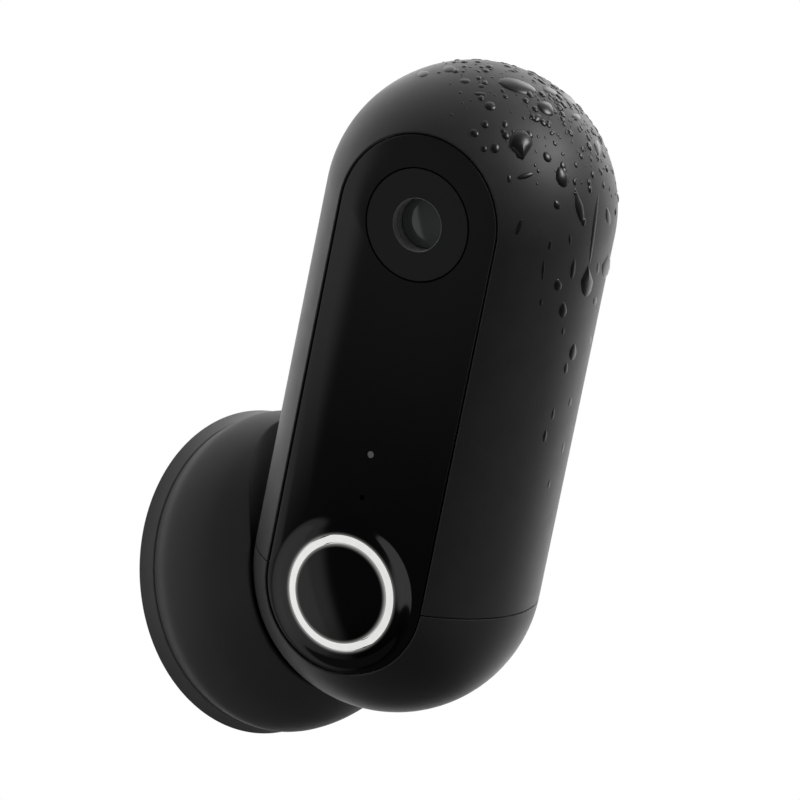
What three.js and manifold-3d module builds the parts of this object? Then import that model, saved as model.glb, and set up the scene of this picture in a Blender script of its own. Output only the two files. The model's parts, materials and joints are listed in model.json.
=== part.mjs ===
// A pill-shaped battery video doorbell that leans out of a round magnetic wall mount.
// Millimetres, +Z up. The wall is the plane y = 0 and the mount faces -Y.
// The body's own frame has its origin at the centre of the lower half-sphere, which is also the centre of the
// ball seat in the mount. Its +Z runs up the body and its -Y looks out of the flat front.

import * as THREE from "three";
import { mergeVertices } from "three/addons/utils/BufferGeometryUtils.js";
import Module from "manifold-3d";

const wasm = await Module();
wasm.setup();

// Clearances and cuts
const fitGap = 0.25;
const overrun = 1;

// Body shell
const bodyRadius = 24.2;
const bodyAxisLength = 63.8;
const shellWall = 2;
const faceInset = 5.15;
const rimLand = 0.25;
const plateThickness = 1.6;
const plateChamfer = 0.2;
const gasketThickness = 0.5;
const ledgeThickness = 2;
const ledgeWidth = 2.4;

// Cap joint under the seam
const spigotHeight = 4;
const spigotRoot = 3;
const spigotWall = 1.8;
const sealSection = 1.1;
const sealHeight = 2.2;

// Lens group
const lensDrop = 0.5;
const bezelRadius = 9.3;
const bezelThickness = 1.4;
const apertureRadius = 4.4;
const lensRecess = 2.4;
const lensGlassThickness = 1.3;
const lensCrown = 0.45;
const barrelWall = 1.2;
const barrelLength = 6.3;
const barrelShoulder = 0.8;
const rearLensThickness = 2;
const rearLensDepth = 3.6;
const holderSide = 13;
const holderRoofThickness = 2.4;
const holderWall = 1.6;
const sensorSide = 7;
const sensorThickness = 0.75;
const irBoardRadius = 9.2;
const irLedRadius = 1.1;
const irLedCircle = 7.4;
const irLedHeight = 1.7;
const irLedCount = 4;

// Push and light ring
const pushHeight = -0.75;
const domeMargin = 1;
const domeRise = 1.6;
const domeBand = 3.8;
const ringWidth = 1;
const ringGap = 0.2;
const ringFlange = 1;
const ringFlangeThickness = 0.65;
const ringBoardReach = 1.6;
const ringLedSide = 1.3;
const ringLedHeight = 0.7;
const ringLedCount = 6;
const pushCapThickness = 1.3;
const pushTravel = 0.7;
const stemRadius = 1.8;
const guideRadius = 2.7;
const guideHeight = 1.9;
const carrierReach = 0.4;
const carrierThickness = 1.5;
const springWire = 0.5;
const springRadius = 3.45;
const springTurns = 4;
const switchSide = 6;
const switchDomeRadius = 1.7;
const switchDomeHeight = 0.6;
const switchSlack = 0.1;

// Small things in the front
const sensorWindowHeight = 23.5;
const sensorWindowRadius = 0.6;
const sensorWindowGap = 0.15;
const micHoleHeight = 16;
const micHoleRadius = 0.45;
const micWidth = 3.8;
const micLength = 2.9;
const micThickness = 1.1;
const lightSensorSide = 2;
const lightSensorThickness = 0.9;

// Boards and chassis
const subBoardThickness = 1;
const boardThickness = 1.2;
const chassisThickness = 1.8;
const boardDepth = 10.15;
const chassisEdge = 0.4;
const chassisTopRim = 1.5;
const chassisLip = 0.5;
const chassisLiningGap = 1.8;
const endWallThickness = 1.5;
const frontBoardHalfWidth = 8.5;
const frontBoardBottom = 12.5;
const frontBoardTopGap = 2.1;
const mainBoardEdge = 2.2;
const mainBoardFootGap = 2;
const sensorBoardGap = 1.7;
const postRadius = 1.1;
const carrierPostOffset = 9.4;
const irPostOffset = 7.9;
const sensorBoardHalfWidth = 6.5;
const sensorBoardHalfHeight = 8.6;
const boardPostX = 6.5;
const boardPostInset = 6;
const screwShaftRadius = 0.8;
const screwPilotRadius = 1.1;
const screwHeadRadius = 1.9;
const screwHeadHeight = 0.9;
const headTaperShare = 0.75;
const screwShaftLength = 6;
const bossRadius = 2.2;
const bossOffset = 2.9;
const bossInset = 14;
const boardScrewLength = 4;
const antennaThickness = 0.5;
const antennaHalfWidth = 8;
const antennaHeight = 5;
const antennaGap = 1.6;

// Power, sound and service parts
const cellSideRoom = 3.6;
const cellRise = 6.2;
const cellNubRadius = 3;
const cellNubHeight = 1;
const cellBottom = 5;
const cellSpacing = 0.4;
const contactThickness = 0.4;
const contactDepth = 8;
const speakerRadius = 9;
const speakerHeight = 4.4;
const speakerMagnetShare = 0.6;
const speakerInset = 10;
const speakerRimWall = 1.2;
const speakerSlotCount = 3;
const speakerSlotLength = 8;
const speakerSlotWidth = 0.9;
const speakerSlotPitch = 2.2;
const shelfRoom = 6.2;
const shelfThickness = 1.5;
const shelfHalfWidth = 12;
const shelfDepth = 15.65;
const usbWidth = 8.9;
const usbHeight = 3.2;
const usbDepth = 3.4;
const usbWall = 0.4;
const usbSetback = 5.65;
const resetSide = 3.5;
const resetHeight = 2;
const resetPlungerRadius = 0.8;
const resetPlungerLength = 1.6;
const resetPlungerReach = 0.8;
const resetTravel = 0.3;
const armatureThickness = 1.2;
const armatureTopAngle = 99.8;
const armatureBottomAngle = 139.5;
const armatureFrontShare = 0.415;

// Pose of the body in the mount
const bodyTilt = 21.5;
const bodySpin = -69;

// Mount
const ballStandOff = 10.4;
const wallPlateFlare = 1;
const wallPlateReveal = 0.1;
const wallPlateThickness = 2.6;
const cupBaseRadius = 26.5;
const cupBellyRise = 0.85;
const cupBellyDepth = 7;
const cupShoulderDrop = 1.1;
const cupShoulderDepth = 14;
const cupRimLand = 0.5;
const cupRimDepth = 20.8;
const cupWall = 2.2;
const seatGap = 0.35;
const seatLean = 4;
const seatPocketDepth = 0.55;
const seatPocketAngle = 50;
const linerThickness = 0.5;
const linerInnerAngle = 8;
const linerOuterAngle = 20;
const magnetRadius = 9.2;
const magnetThickness = 3.2;
const yokeWall = 1.1;
const yokeBase = 1.3;
const pocketWall = 1.8;
const hookCount = 3;
const hookRadius = 19;
const hookWidth = 5;
const hookPostThickness = 1.6;
const hookPostHeight = 3.4;
const hookLipReach = 1.8;
const hookLipThickness = 1.2;
const wallScrewCircle = 17;
const wallScrewRadius = 2.1;
const wallScrewHeadRadius = 4;
const lockScrewRadius = 1.4;
const lockScrewDepth = 5;
const lockTabThickness = 1.4;
const lockTabHeight = 4.4;

// Facets
const shellSegments = 40;
const hemisphereSteps = 8;
const insideSegments = 26;
const insideSteps = 6;
const discSegments = 24;
const smallSegments = 12;
const screwSegments = 8;
const cupSteps = 7;
const springSteps = 9;
const springSides = 3;

// Levels in the body, worked out from the sizes above. Front is -Y, so levels grow towards the back.
const faceY = faceInset - bodyRadius;
const faceHalfWidth = Math.sqrt(bodyRadius ** 2 - faceY ** 2);
const recessHalfWidth = faceHalfWidth - rimLand;
const plateHalfWidth = recessHalfWidth - fitGap;
const windowHalfWidth = recessHalfWidth - ledgeWidth;
const plateBackY = faceY + plateThickness;
const gasketFrontY = plateBackY + fitGap;
const gasketBackY = gasketFrontY + gasketThickness;
const ledgeFrontY = gasketBackY + fitGap;
const ledgeBackY = ledgeFrontY + ledgeThickness;
const cavityRadius = bodyRadius - shellWall;
const boardFrontY = faceY + boardDepth;
const boardBackY = boardFrontY + boardThickness;
const chassisFrontY = boardBackY + fitGap;
const chassisBackY = chassisFrontY + chassisThickness;
const ringRearY = gasketFrontY + ringFlangeThickness;
const subBoardFrontY = ringRearY + fitGap + ringLedHeight + fitGap;
const subBoardBackY = subBoardFrontY + subBoardThickness;
const carrierFrontY = subBoardBackY + fitGap;
const carrierBackY = carrierFrontY + carrierThickness;
const domeRadius = plateHalfWidth - domeMargin;
const ringOuterRadius = domeRadius - domeBand;
const ringInnerRadius = ringOuterRadius - ringWidth;
const ringFlangeRadius = ringOuterRadius + ringFlange;
const ringBoardInnerRadius = ringInnerRadius - ringBoardReach;
const ringBoardOuterRadius = ringOuterRadius + ringBoardReach;
const carrierRadius = ringBoardOuterRadius + carrierReach;
const domeCurve = (domeRadius ** 2 + domeRise ** 2) / (2 * domeRise);
const switchTopY = carrierBackY + 2 * fitGap;
const stemEndY = switchTopY - pushTravel - switchSlack;
const lensHeight = bodyAxisLength - lensDrop;
const lensGlassY = faceY + lensRecess;
const bezelBackY = faceY + bezelThickness;
const barrelFrontY = bezelBackY + fitGap;
const barrelBackY = barrelFrontY + barrelLength;
const barrelRadius = apertureRadius + barrelWall;
const chassisLimit = cavityRadius - chassisLiningGap;
const antennaBottom = lensHeight + sensorBoardHalfHeight + antennaGap;
const chassisTop = antennaBottom + antennaHeight + chassisTopRim;
const bossX = windowHalfWidth + bossOffset;
const chassisHalfWidth = bossX + screwHeadRadius + chassisEdge;
const frontBoardTop = lensHeight - irBoardRadius - frontBoardTopGap;
const mainBoardHalfWidth = carrierPostOffset + mainBoardEdge;
const mainBoardTop = lensHeight - sensorBoardHalfHeight - sensorBoardGap;
const cellRadius = (cavityRadius - cellSideRoom - cellSpacing / 2) / 2;
const cellY = chassisBackY + fitGap + cellRadius;
const cellX = cellRadius + cellSpacing / 2;
const cellTop = bodyAxisLength + cellRise;
const speakerTop = speakerInset - bodyRadius;
const shelfTop = speakerTop + shelfRoom;
const shelfBottom = shelfTop - shelfThickness;
const shelfBackY = chassisBackY + shelfDepth;
const chassisBottom = shelfBottom - chassisLip;
const mainBoardBottom = chassisBottom + mainBoardFootGap;
const usbY = chassisBackY + usbSetback;
const ballDistance = bodyRadius + ballStandOff;
const seatRadius = bodyRadius + seatGap;
const pocketRadius = seatRadius + seatPocketDepth;
const cupBackDepth = wallPlateThickness + fitGap;
const wallPlateFrontRadius = cupBaseRadius + wallPlateReveal;
const wallPlateRadius = wallPlateFrontRadius + wallPlateFlare;
const cupBellyRadius = cupBaseRadius + cupBellyRise;
const cupShoulderRadius = cupBaseRadius - cupShoulderDrop;
const cupRimRadius = Math.sqrt(seatRadius ** 2 - (ballDistance - cupRimDepth) ** 2) + cupRimLand;

// Geometry tools

// Closed three.js geometry to a solid with its faces pointing out.
function solidOf(geometry) {
  const bare = geometry.clone();
  bare.deleteAttribute("normal");
  bare.deleteAttribute("uv");
  const merged = mergeVertices(bare);
  const points = merged.attributes.position.array;
  const triangles = [];
  let volume = 0;
  for (let i = 0; i < merged.index.count; i += 3) {
    const [a, b, c] = [0, 1, 2].map((corner) => merged.index.getX(i + corner));
    if (a === b || b === c || c === a) continue;
    triangles.push(a, b, c);
    const [pa, pb, pc] = [a, b, c].map((k) => new THREE.Vector3().fromArray(points, k * 3));
    volume += pa.dot(pb.cross(pc));
  }
  if (volume < 0) triangles.reverse();
  const mesh = new wasm.Mesh({
    numProp: 3,
    vertProperties: new Float32Array(points),
    triVerts: new Uint32Array(triangles),
  });
  return new wasm.Manifold(mesh);
}

// Solid back to a three.js geometry.
function geometryOf(solid) {
  const mesh = solid.getMesh();
  const geometry = new THREE.BufferGeometry();
  geometry.setAttribute("position", new THREE.BufferAttribute(new Float32Array(mesh.vertProperties), 3));
  geometry.setIndex(new THREE.BufferAttribute(new Uint32Array(mesh.triVerts), 1));
  geometry.computeVertexNormals();
  return geometry;
}

// A solid turned about the Y axis from [radius, y] points.
function turnedY(profile, segments, x = 0, z = 0) {
  const points = profile.map(([radius, level]) => new THREE.Vector2(radius, level));
  const geometry = new THREE.LatheGeometry(points, segments);
  geometry.translate(x, 0, z);
  return solidOf(geometry);
}

// A solid turned about the Z axis from [radius, z] points.
function turnedZ(profile, segments, x = 0, y = 0) {
  const points = profile.map(([radius, level]) => new THREE.Vector2(radius, level));
  const geometry = new THREE.LatheGeometry(points, segments);
  geometry.rotateX(Math.PI / 2);
  geometry.translate(x, y, 0);
  return solidOf(geometry);
}

const discProfile = (radius, from, to) => [[0, from], [radius, from], [radius, to], [0, to]];
const discY = (radius, from, to, x = 0, z = 0, segments = discSegments) =>
  turnedY(discProfile(radius, from, to), segments, x, z);
const discZ = (radius, from, to, x = 0, y = 0, segments = discSegments) =>
  turnedZ(discProfile(radius, from, to), segments, x, y);
const ringProfile = (inner, outer, from, to) =>
  [[inner, from], [outer, from], [outer, to], [inner, to], [inner, from]];
const ringY = (inner, outer, from, to, x = 0, z = 0, segments = discSegments) =>
  turnedY(ringProfile(inner, outer, from, to), segments, x, z);

function block(x0, x1, y0, y1, z0, z1) {
  const geometry = new THREE.BoxGeometry(x1 - x0, y1 - y0, z1 - z0);
  geometry.translate((x0 + x1) / 2, (y0 + y1) / 2, (z0 + z1) / 2);
  return solidOf(geometry);
}

// Points on an arc about [0, centre], from one angle to another, measured from the +level direction.
function arcPoints(radius, centre, fromAngle, toAngle, steps) {
  return Array.from({ length: steps + 1 }, (unused, i) => {
    const angle = THREE.MathUtils.degToRad(fromAngle + ((toAngle - fromAngle) * i) / steps);
    return [radius * Math.sin(angle), centre + radius * Math.cos(angle)];
  });
}

// The pill: a cylinder between two half-spheres, standing on the lower sphere's centre.
function pill(radius, segments = shellSegments, steps = hemisphereSteps) {
  const lower = arcPoints(radius, 0, 180, 90, steps);
  const upper = arcPoints(radius, bodyAxisLength, 90, 0, steps);
  return turnedZ([...lower, ...upper], segments);
}

// A flat slab with round ends in the front plane, between two levels of y.
function oblong(halfWidth, from, to, chamfer = 0) {
  const outline = halfWidth - chamfer;
  const shape = new THREE.Shape();
  shape.absarc(0, bodyAxisLength, outline, 0, Math.PI, false);
  shape.absarc(0, 0, outline, Math.PI, 2 * Math.PI, false);
  const geometry = new THREE.ExtrudeGeometry(shape, {
    depth: to - from - 2 * chamfer,
    curveSegments: discSegments / 2,
    bevelEnabled: chamfer > 0,
    bevelSize: chamfer,
    bevelThickness: chamfer,
    bevelSegments: 1,
  });
  geometry.rotateX(Math.PI / 2);
  geometry.translate(0, to - chamfer, 0);
  return solidOf(geometry);
}

const reach = bodyAxisLength + 4 * bodyRadius;
const behind = (level) => block(-reach, reach, level, reach, -reach, reach);
const above = (level) => block(-reach, reach, -reach, reach, level, reach);
const below = (level) => block(-reach, reach, -reach, reach, -reach, level);

// Body shell

function cavity() {
  return pill(cavityRadius, insideSegments, insideSteps).intersect(behind(ledgeBackY));
}

function shell() {
  return pill(bodyRadius)
    .intersect(behind(faceY))
    .subtract(oblong(recessHalfWidth, faceY - overrun, ledgeFrontY))
    .subtract(oblong(windowHalfWidth, faceY - overrun, ledgeBackY + overrun))
    .subtract(cavity());
}

const seamHalf = fitGap / 2;
const bossHeights = [bossInset, bodyAxisLength - bossInset];
const bossPlaces = bossHeights.flatMap((z) => [[-bossX, z], [bossX, z]]);

function upperHousing() {
  let housing = shell().intersect(above(seamHalf));
  const inside = pill(bodyRadius - shellWall / 2, insideSegments, insideSteps);
  for (const [x, z] of bossPlaces) {
    const boss = discY(bossRadius, ledgeBackY - ledgeThickness / 2, boardBackY - fitGap, x, z, smallSegments);
    const pilot = discY(screwPilotRadius, ledgeBackY, boardBackY + overrun, x, z, screwSegments);
    housing = housing.add(boss.intersect(inside)).subtract(pilot);
  }
  return housing;
}

// Part of a cylinder about Z that stays behind a level of y.
function halfDisc(radius, frontY, from, to) {
  return discZ(radius, from, to, 0, 0, shellSegments).intersect(behind(frontY));
}

const spigotOuter = cavityRadius - fitGap;
const spigotInner = spigotOuter - spigotWall;
const spigotFrontY = ledgeBackY + fitGap;

function bottomCap() {
  const core = halfDisc(spigotInner, spigotFrontY + spigotWall, -bodyRadius, bodyRadius);
  const wall = halfDisc(spigotOuter, spigotFrontY, -spigotRoot, spigotHeight);
  const root = halfDisc(cavityRadius + shellWall / 2, ledgeBackY - ledgeThickness / 2, -spigotRoot, -fitGap);
  const window = block(-windowHalfWidth, windowHalfWidth, -bodyRadius, chassisFrontY,
    -bodyRadius, bodyRadius);
  const grooveHalf = sealSection / 2 + fitGap;
  const groove = discZ(bodyRadius, sealHeight - grooveHalf, sealHeight + grooveHalf)
    .subtract(discZ(spigotOuter - sealSection, -bodyRadius, bodyRadius, 0, 0, shellSegments));
  const spigot = wall.add(root).subtract(core).subtract(window).subtract(groove);
  const rimInner = speakerRadius + fitGap;
  const rimOuter = rimInner + speakerRimWall;
  const rim = turnedZ(ringProfile(rimInner, rimOuter, -cavityRadius, speakerTop - fitGap), discSegments)
    .intersect(pill(bodyRadius - shellWall / 2, insideSegments, insideSteps));
  let cap = shell().intersect(below(-seamHalf)).add(rim).add(spigot);
  for (let i = 0; i < speakerSlotCount; i += 1) {
    const x = (i - (speakerSlotCount - 1) / 2) * speakerSlotPitch;
    const half = speakerSlotWidth / 2;
    const slot = block(x - half, x + half, -speakerSlotLength / 2, speakerSlotLength / 2,
      -bodyRadius - overrun, speakerTop - speakerHeight);
    cap = cap.subtract(slot);
  }
  return cap;
}

function capSeal() {
  const outer = spigotOuter;
  const inner = outer - sealSection + fitGap;
  const ring = discZ(outer, sealHeight - sealSection / 2, sealHeight + sealSection / 2, 0, 0, shellSegments)
    .subtract(discZ(inner, -bodyRadius, bodyRadius, 0, 0, shellSegments));
  return ring.intersect(behind(spigotFrontY));
}

// The low dome round the push: one spherical cap on the front plate.
function domeCap() {
  const halfAngle = THREE.MathUtils.radToDeg(Math.asin(domeRadius / domeCurve));
  const centre = faceY - domeRise + domeCurve;
  const crown = arcPoints(domeCurve, centre, 180, 180 - halfAngle, hemisphereSteps);
  return turnedY([...crown, [domeRadius, plateBackY], [0, plateBackY]], shellSegments, 0, pushHeight);
}

function frontPlate() {
  const hole = (radius, height, segments) =>
    discY(radius, faceY - domeRise - overrun, plateBackY + overrun, 0, height, segments);
  return oblong(plateHalfWidth, faceY, plateBackY, plateChamfer)
    .add(domeCap())
    .subtract(hole(ringOuterRadius + ringGap, pushHeight, discSegments))
    .subtract(hole(bezelRadius + fitGap, lensHeight, shellSegments))
    .subtract(hole(sensorWindowRadius + sensorWindowGap, sensorWindowHeight, screwSegments))
    .subtract(hole(micHoleRadius, micHoleHeight, screwSegments));
}

function plateGasket() {
  return oblong(plateHalfWidth, gasketFrontY, gasketBackY)
    .subtract(oblong(windowHalfWidth, gasketFrontY - overrun, gasketBackY + overrun));
}

// Lens group

const lensBezel = () => ringY(apertureRadius, bezelRadius, faceY, bezelBackY, 0, lensHeight, shellSegments);

function lensBarrel() {
  const glassSeatY = lensGlassY + lensGlassThickness + fitGap;
  const throat = apertureRadius - barrelShoulder;
  const profile = [
    [apertureRadius, barrelFrontY], [barrelRadius, barrelFrontY], [barrelRadius, barrelBackY],
    [throat, barrelBackY], [throat, glassSeatY], [apertureRadius, glassSeatY], [apertureRadius, barrelFrontY],
  ];
  return turnedY(profile, discSegments, 0, lensHeight);
}

// A glass disc with a domed front, from its apex backwards.
function lensGlass(radius, apexY, thickness, crown) {
  const curve = (radius ** 2 + crown ** 2) / (2 * crown);
  const halfAngle = THREE.MathUtils.radToDeg(Math.asin(radius / curve));
  const front = arcPoints(curve, apexY + curve, 180, 180 - halfAngle, insideSteps / 2);
  return turnedY([...front, [radius, apexY + thickness], [0, apexY + thickness]], discSegments, 0, lensHeight);
}

const frontLens = () => lensGlass(apertureRadius - fitGap, lensGlassY, lensGlassThickness, lensCrown);
const rearLens = () =>
  lensGlass(apertureRadius - barrelShoulder - fitGap, lensGlassY + rearLensDepth, rearLensThickness, lensCrown);

function lensHolder() {
  const half = holderSide / 2;
  const back = boardFrontY - fitGap;
  const front = barrelBackY - holderRoofThickness;
  const chamber = half - holderWall;
  const room = block(-chamber, chamber, barrelBackY + fitGap, back + overrun,
    lensHeight - chamber, lensHeight + chamber);
  return block(-half, half, front, back, lensHeight - half, lensHeight + half)
    .subtract(discY(barrelRadius + fitGap, front - overrun, barrelBackY + fitGap, 0, lensHeight))
    .subtract(discY(apertureRadius, front, back, 0, lensHeight, smallSegments))
    .subtract(room);
}

function imageSensor() {
  const half = sensorSide / 2;
  const back = boardFrontY - fitGap;
  return block(-half, half, back - sensorThickness, back, lensHeight - half, lensHeight + half);
}

const sensorBoard = () => block(-sensorBoardHalfWidth, sensorBoardHalfWidth, boardFrontY, boardBackY,
  lensHeight - sensorBoardHalfHeight, lensHeight + sensorBoardHalfHeight);

const irBoard = () =>
  ringY(barrelRadius + fitGap, irBoardRadius, subBoardFrontY, subBoardBackY, 0, lensHeight);

function irLed(i) {
  const angle = (2 * Math.PI * (i + 1 / 2)) / irLedCount;
  const back = subBoardFrontY - fitGap;
  const dome = arcPoints(irLedRadius, back - irLedHeight + irLedRadius, 180, 90, insideSteps / 3);
  return turnedY([...dome, [irLedRadius, back], [0, back]], screwSegments,
    irLedCircle * Math.cos(angle), lensHeight + irLedCircle * Math.sin(angle));
}

// Push, light ring and what lies behind them

// Level of the dome's surface at a distance from the push's axis.
const domeY = (radius) => faceY - domeRise + domeCurve - Math.sqrt(domeCurve ** 2 - radius ** 2);

function lightRing() {
  const top = [0, 1, 2].map((i) => {
    const radius = ringInnerRadius + ((ringOuterRadius - ringInnerRadius) * i) / 2;
    return [radius, domeY(radius)];
  });
  const profile = [
    ...top, [ringOuterRadius, gasketFrontY], [ringFlangeRadius, gasketFrontY], [ringFlangeRadius, ringRearY],
    [ringInnerRadius, ringRearY], top[0],
  ];
  return turnedY(profile, shellSegments, 0, pushHeight);
}

const ringBoard = () =>
  ringY(ringBoardInnerRadius, ringBoardOuterRadius, subBoardFrontY, subBoardBackY, 0, pushHeight);

function ringLed(i) {
  const angle = (2 * Math.PI * i) / ringLedCount;
  const middle = (ringInnerRadius + ringOuterRadius) / 2;
  const half = ringLedSide / 2;
  const [x, z] = [middle * Math.cos(angle), pushHeight + middle * Math.sin(angle)];
  const back = subBoardFrontY - fitGap;
  return block(x - half, x + half, back - ringLedHeight, back, z - half, z + half);
}

function pushCap() {
  const radius = ringInnerRadius - ringGap;
  const halfAngle = THREE.MathUtils.radToDeg(Math.asin(radius / domeCurve));
  const crown = arcPoints(domeCurve, faceY - domeRise + domeCurve, 180, 180 - halfAngle, insideSteps);
  const underY = domeY(radius) + pushCapThickness;
  const profile = [...crown, [radius, underY], [stemRadius, underY], [stemRadius, stemEndY], [0, stemEndY]];
  return turnedY(profile, shellSegments, 0, pushHeight);
}

function ringCarrier() {
  const bore = stemRadius + fitGap;
  const profile = [
    [bore, carrierFrontY - guideHeight], [guideRadius, carrierFrontY - guideHeight],
    [guideRadius, carrierFrontY], [carrierRadius, carrierFrontY], [carrierRadius, carrierBackY],
    [bore, carrierBackY], [bore, carrierFrontY - guideHeight],
  ];
  return turnedY(profile, discSegments, 0, pushHeight);
}

// Return spring between the push and the carrier.
class SpringCurve extends THREE.Curve {
  constructor(from, to) {
    super();
    this.from = from;
    this.to = to;
  }

  getPoint(t, target = new THREE.Vector3()) {
    const angle = 2 * Math.PI * springTurns * t;
    const level = this.from + (this.to - this.from) * t;
    return target.set(springRadius * Math.cos(angle), level, pushHeight + springRadius * Math.sin(angle));
  }
}

function pushSpring() {
  const half = springWire / 2;
  const from = domeY(ringInnerRadius - ringGap) + pushCapThickness + half + fitGap;
  const to = carrierFrontY - half - fitGap;
  const section = new THREE.Shape();
  section.absarc(0, 0, half, 0, 2 * Math.PI, false);
  return solidOf(new THREE.ExtrudeGeometry(section, {
    steps: springSteps * springTurns,
    curveSegments: springSides,
    extrudePath: new SpringCurve(from, to),
  }));
}

function tactSwitch() {
  const half = switchSide / 2;
  const domeBase = switchTopY + switchDomeHeight;
  return block(-half, half, domeBase, boardFrontY - fitGap, pushHeight - half, pushHeight + half)
    .add(discY(switchDomeRadius, switchTopY, domeBase + switchDomeHeight, 0, pushHeight, smallSegments));
}

// Boards and chassis

const sensorWindow = () =>
  discY(sensorWindowRadius, faceY, gasketFrontY, 0, sensorWindowHeight, screwSegments);

function lightSensor() {
  const half = lightSensorSide / 2;
  const back = subBoardFrontY - fitGap;
  return block(-half, half, back - lightSensorThickness, back,
    sensorWindowHeight - half, sensorWindowHeight + half);
}

function microphone() {
  const back = subBoardFrontY - fitGap;
  return block(-micWidth / 2, micWidth / 2, back - micThickness, back,
    micHoleHeight - micLength / 2, micHoleHeight + micLength / 2);
}

const boardPosts = [
  [-boardPostX, frontBoardBottom + boardPostInset],
  [boardPostX, frontBoardTop - boardPostInset],
];
const carrierPosts = [[-carrierPostOffset, pushHeight], [carrierPostOffset, pushHeight]];
const irPosts = [[-irPostOffset, lensHeight], [irPostOffset, lensHeight]];

function frontBoard() {
  let board = block(-frontBoardHalfWidth, frontBoardHalfWidth, subBoardFrontY, subBoardBackY,
    frontBoardBottom, frontBoardTop);
  for (const [x, z] of boardPosts) {
    board = board.subtract(
      discY(screwPilotRadius, subBoardFrontY - overrun, subBoardBackY + overrun, x, z, screwSegments));
  }
  return board;
}

function mainBoard() {
  let board = block(-mainBoardHalfWidth, mainBoardHalfWidth, boardFrontY, boardBackY,
    mainBoardBottom, mainBoardTop);
  const places = [...boardPosts.map((place) => [...place, bossRadius]),
    ...carrierPosts.map((place) => [...place, postRadius])];
  for (const [x, z, radius] of places) {
    board = board.subtract(
      discY(radius + fitGap, boardFrontY - overrun, boardBackY + overrun, x, z, screwSegments));
  }
  return board;
}

function chassis() {
  const plate = block(-chassisHalfWidth, chassisHalfWidth, chassisFrontY, chassisBackY,
    chassisBottom, chassisTop);
  const wallRadius = spigotInner - fitGap;
  const lowerTop = cellBottom - 2 * fitGap - contactThickness;
  const upperBottom = cellTop + cellNubHeight + 2 * fitGap + contactThickness;
  let frame = plate
    .add(halfDisc(wallRadius, chassisFrontY, lowerTop - endWallThickness, lowerTop))
    .add(halfDisc(wallRadius, chassisFrontY, upperBottom, upperBottom + endWallThickness))
    .add(block(-shelfHalfWidth, shelfHalfWidth, chassisFrontY, shelfBackY, shelfBottom, shelfTop))
    .intersect(pill(chassisLimit, insideSegments, insideSteps));
  for (const [x, z] of carrierPosts) {
    frame = frame.add(discY(postRadius, carrierBackY + fitGap, chassisBackY, x, z, screwSegments));
  }
  for (const [x, z] of irPosts) {
    frame = frame.add(discY(postRadius, subBoardBackY + fitGap, chassisBackY, x, z, screwSegments));
  }
  for (const [x, z] of boardPosts) {
    frame = frame
      .add(discY(bossRadius, subBoardBackY + fitGap, chassisBackY, x, z, smallSegments))
      .subtract(discY(screwPilotRadius, subBoardBackY, subBoardBackY + boardScrewLength, x, z, screwSegments));
  }
  for (const [x, z] of bossPlaces) {
    frame = frame.subtract(
      discY(screwPilotRadius, chassisFrontY - overrun, chassisBackY + overrun, x, z, screwSegments));
  }
  return frame;
}

// A pan head screw along Y whose head's underside is at seatY. toward is -1 when its shaft points to the front.
function screw(x, z, seatY, length, toward) {
  const shaftEnd = seatY + toward * length;
  const headEnd = seatY - toward * screwHeadHeight;
  const profile = [[0, headEnd], [screwHeadRadius * headTaperShare, headEnd], [screwHeadRadius, seatY],
    [screwShaftRadius, seatY], [screwShaftRadius, shaftEnd], [0, shaftEnd]];
  return turnedY(profile, screwSegments, x, z);
}

const chassisScrew = ([x, z]) => screw(x, z, chassisBackY + fitGap, screwShaftLength, -1);
const boardScrew = ([x, z]) => screw(x, z, subBoardFrontY - fitGap, boardScrewLength, 1);

const antenna = () => block(-antennaHalfWidth, antennaHalfWidth, boardBackY - antennaThickness, boardBackY,
  antennaBottom, antennaBottom + antennaHeight);

// Power, sound and service parts

function cell(side) {
  const profile = [
    [0, cellBottom], [cellRadius, cellBottom], [cellRadius, cellTop], [cellNubRadius, cellTop],
    [cellNubRadius, cellTop + cellNubHeight], [0, cellTop + cellNubHeight],
  ];
  return turnedZ(profile, discSegments, side * cellX, cellY);
}

function contact(bottom) {
  const halfWidth = cellX + contactDepth / 2;
  return block(-halfWidth, halfWidth, cellY - contactDepth / 2, cellY + contactDepth / 2,
    bottom, bottom + contactThickness);
}

const lowerContact = () => contact(cellBottom - fitGap - contactThickness);
const upperContact = () => contact(cellTop + cellNubHeight + fitGap);

function speaker() {
  const bottom = speakerTop - speakerHeight;
  const magnetStep = speakerHeight / 2;
  const profile = [
    [0, bottom], [speakerRadius, bottom], [speakerRadius, speakerTop - magnetStep],
    [speakerRadius * speakerMagnetShare, speakerTop - magnetStep],
    [speakerRadius * speakerMagnetShare, speakerTop], [0, speakerTop],
  ];
  return turnedZ(profile, discSegments);
}

function usbSocket() {
  const top = shelfBottom - fitGap;
  const half = usbWidth / 2;
  const outer = block(-half, half, usbY, usbY + usbHeight, top - usbDepth, top);
  const mouth = block(-half + usbWall, half - usbWall, usbY + usbWall, usbY + usbHeight - usbWall,
    top - usbDepth - overrun, top - usbWall);
  return outer.subtract(mouth);
}

const resetTop = shelfBottom - fitGap;
const resetX = usbWidth / 2 + fitGap + resetSide / 2;
const resetY = usbY + resetSide / 2;
const plungerBottom = resetTop - resetHeight - resetPlungerReach;
const plungerTop = plungerBottom + resetPlungerLength;

function resetButton() {
  const half = resetSide / 2;
  return block(resetX - half, resetX + half, resetY - half, resetY + half, resetTop - resetHeight, resetTop)
    .subtract(discZ(resetPlungerRadius + fitGap, plungerBottom, plungerTop + resetTravel + fitGap,
      resetX, resetY, screwSegments));
}

const resetPlunger = () =>
  discZ(resetPlungerRadius, plungerBottom, plungerTop, resetX, resetY, screwSegments);

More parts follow.
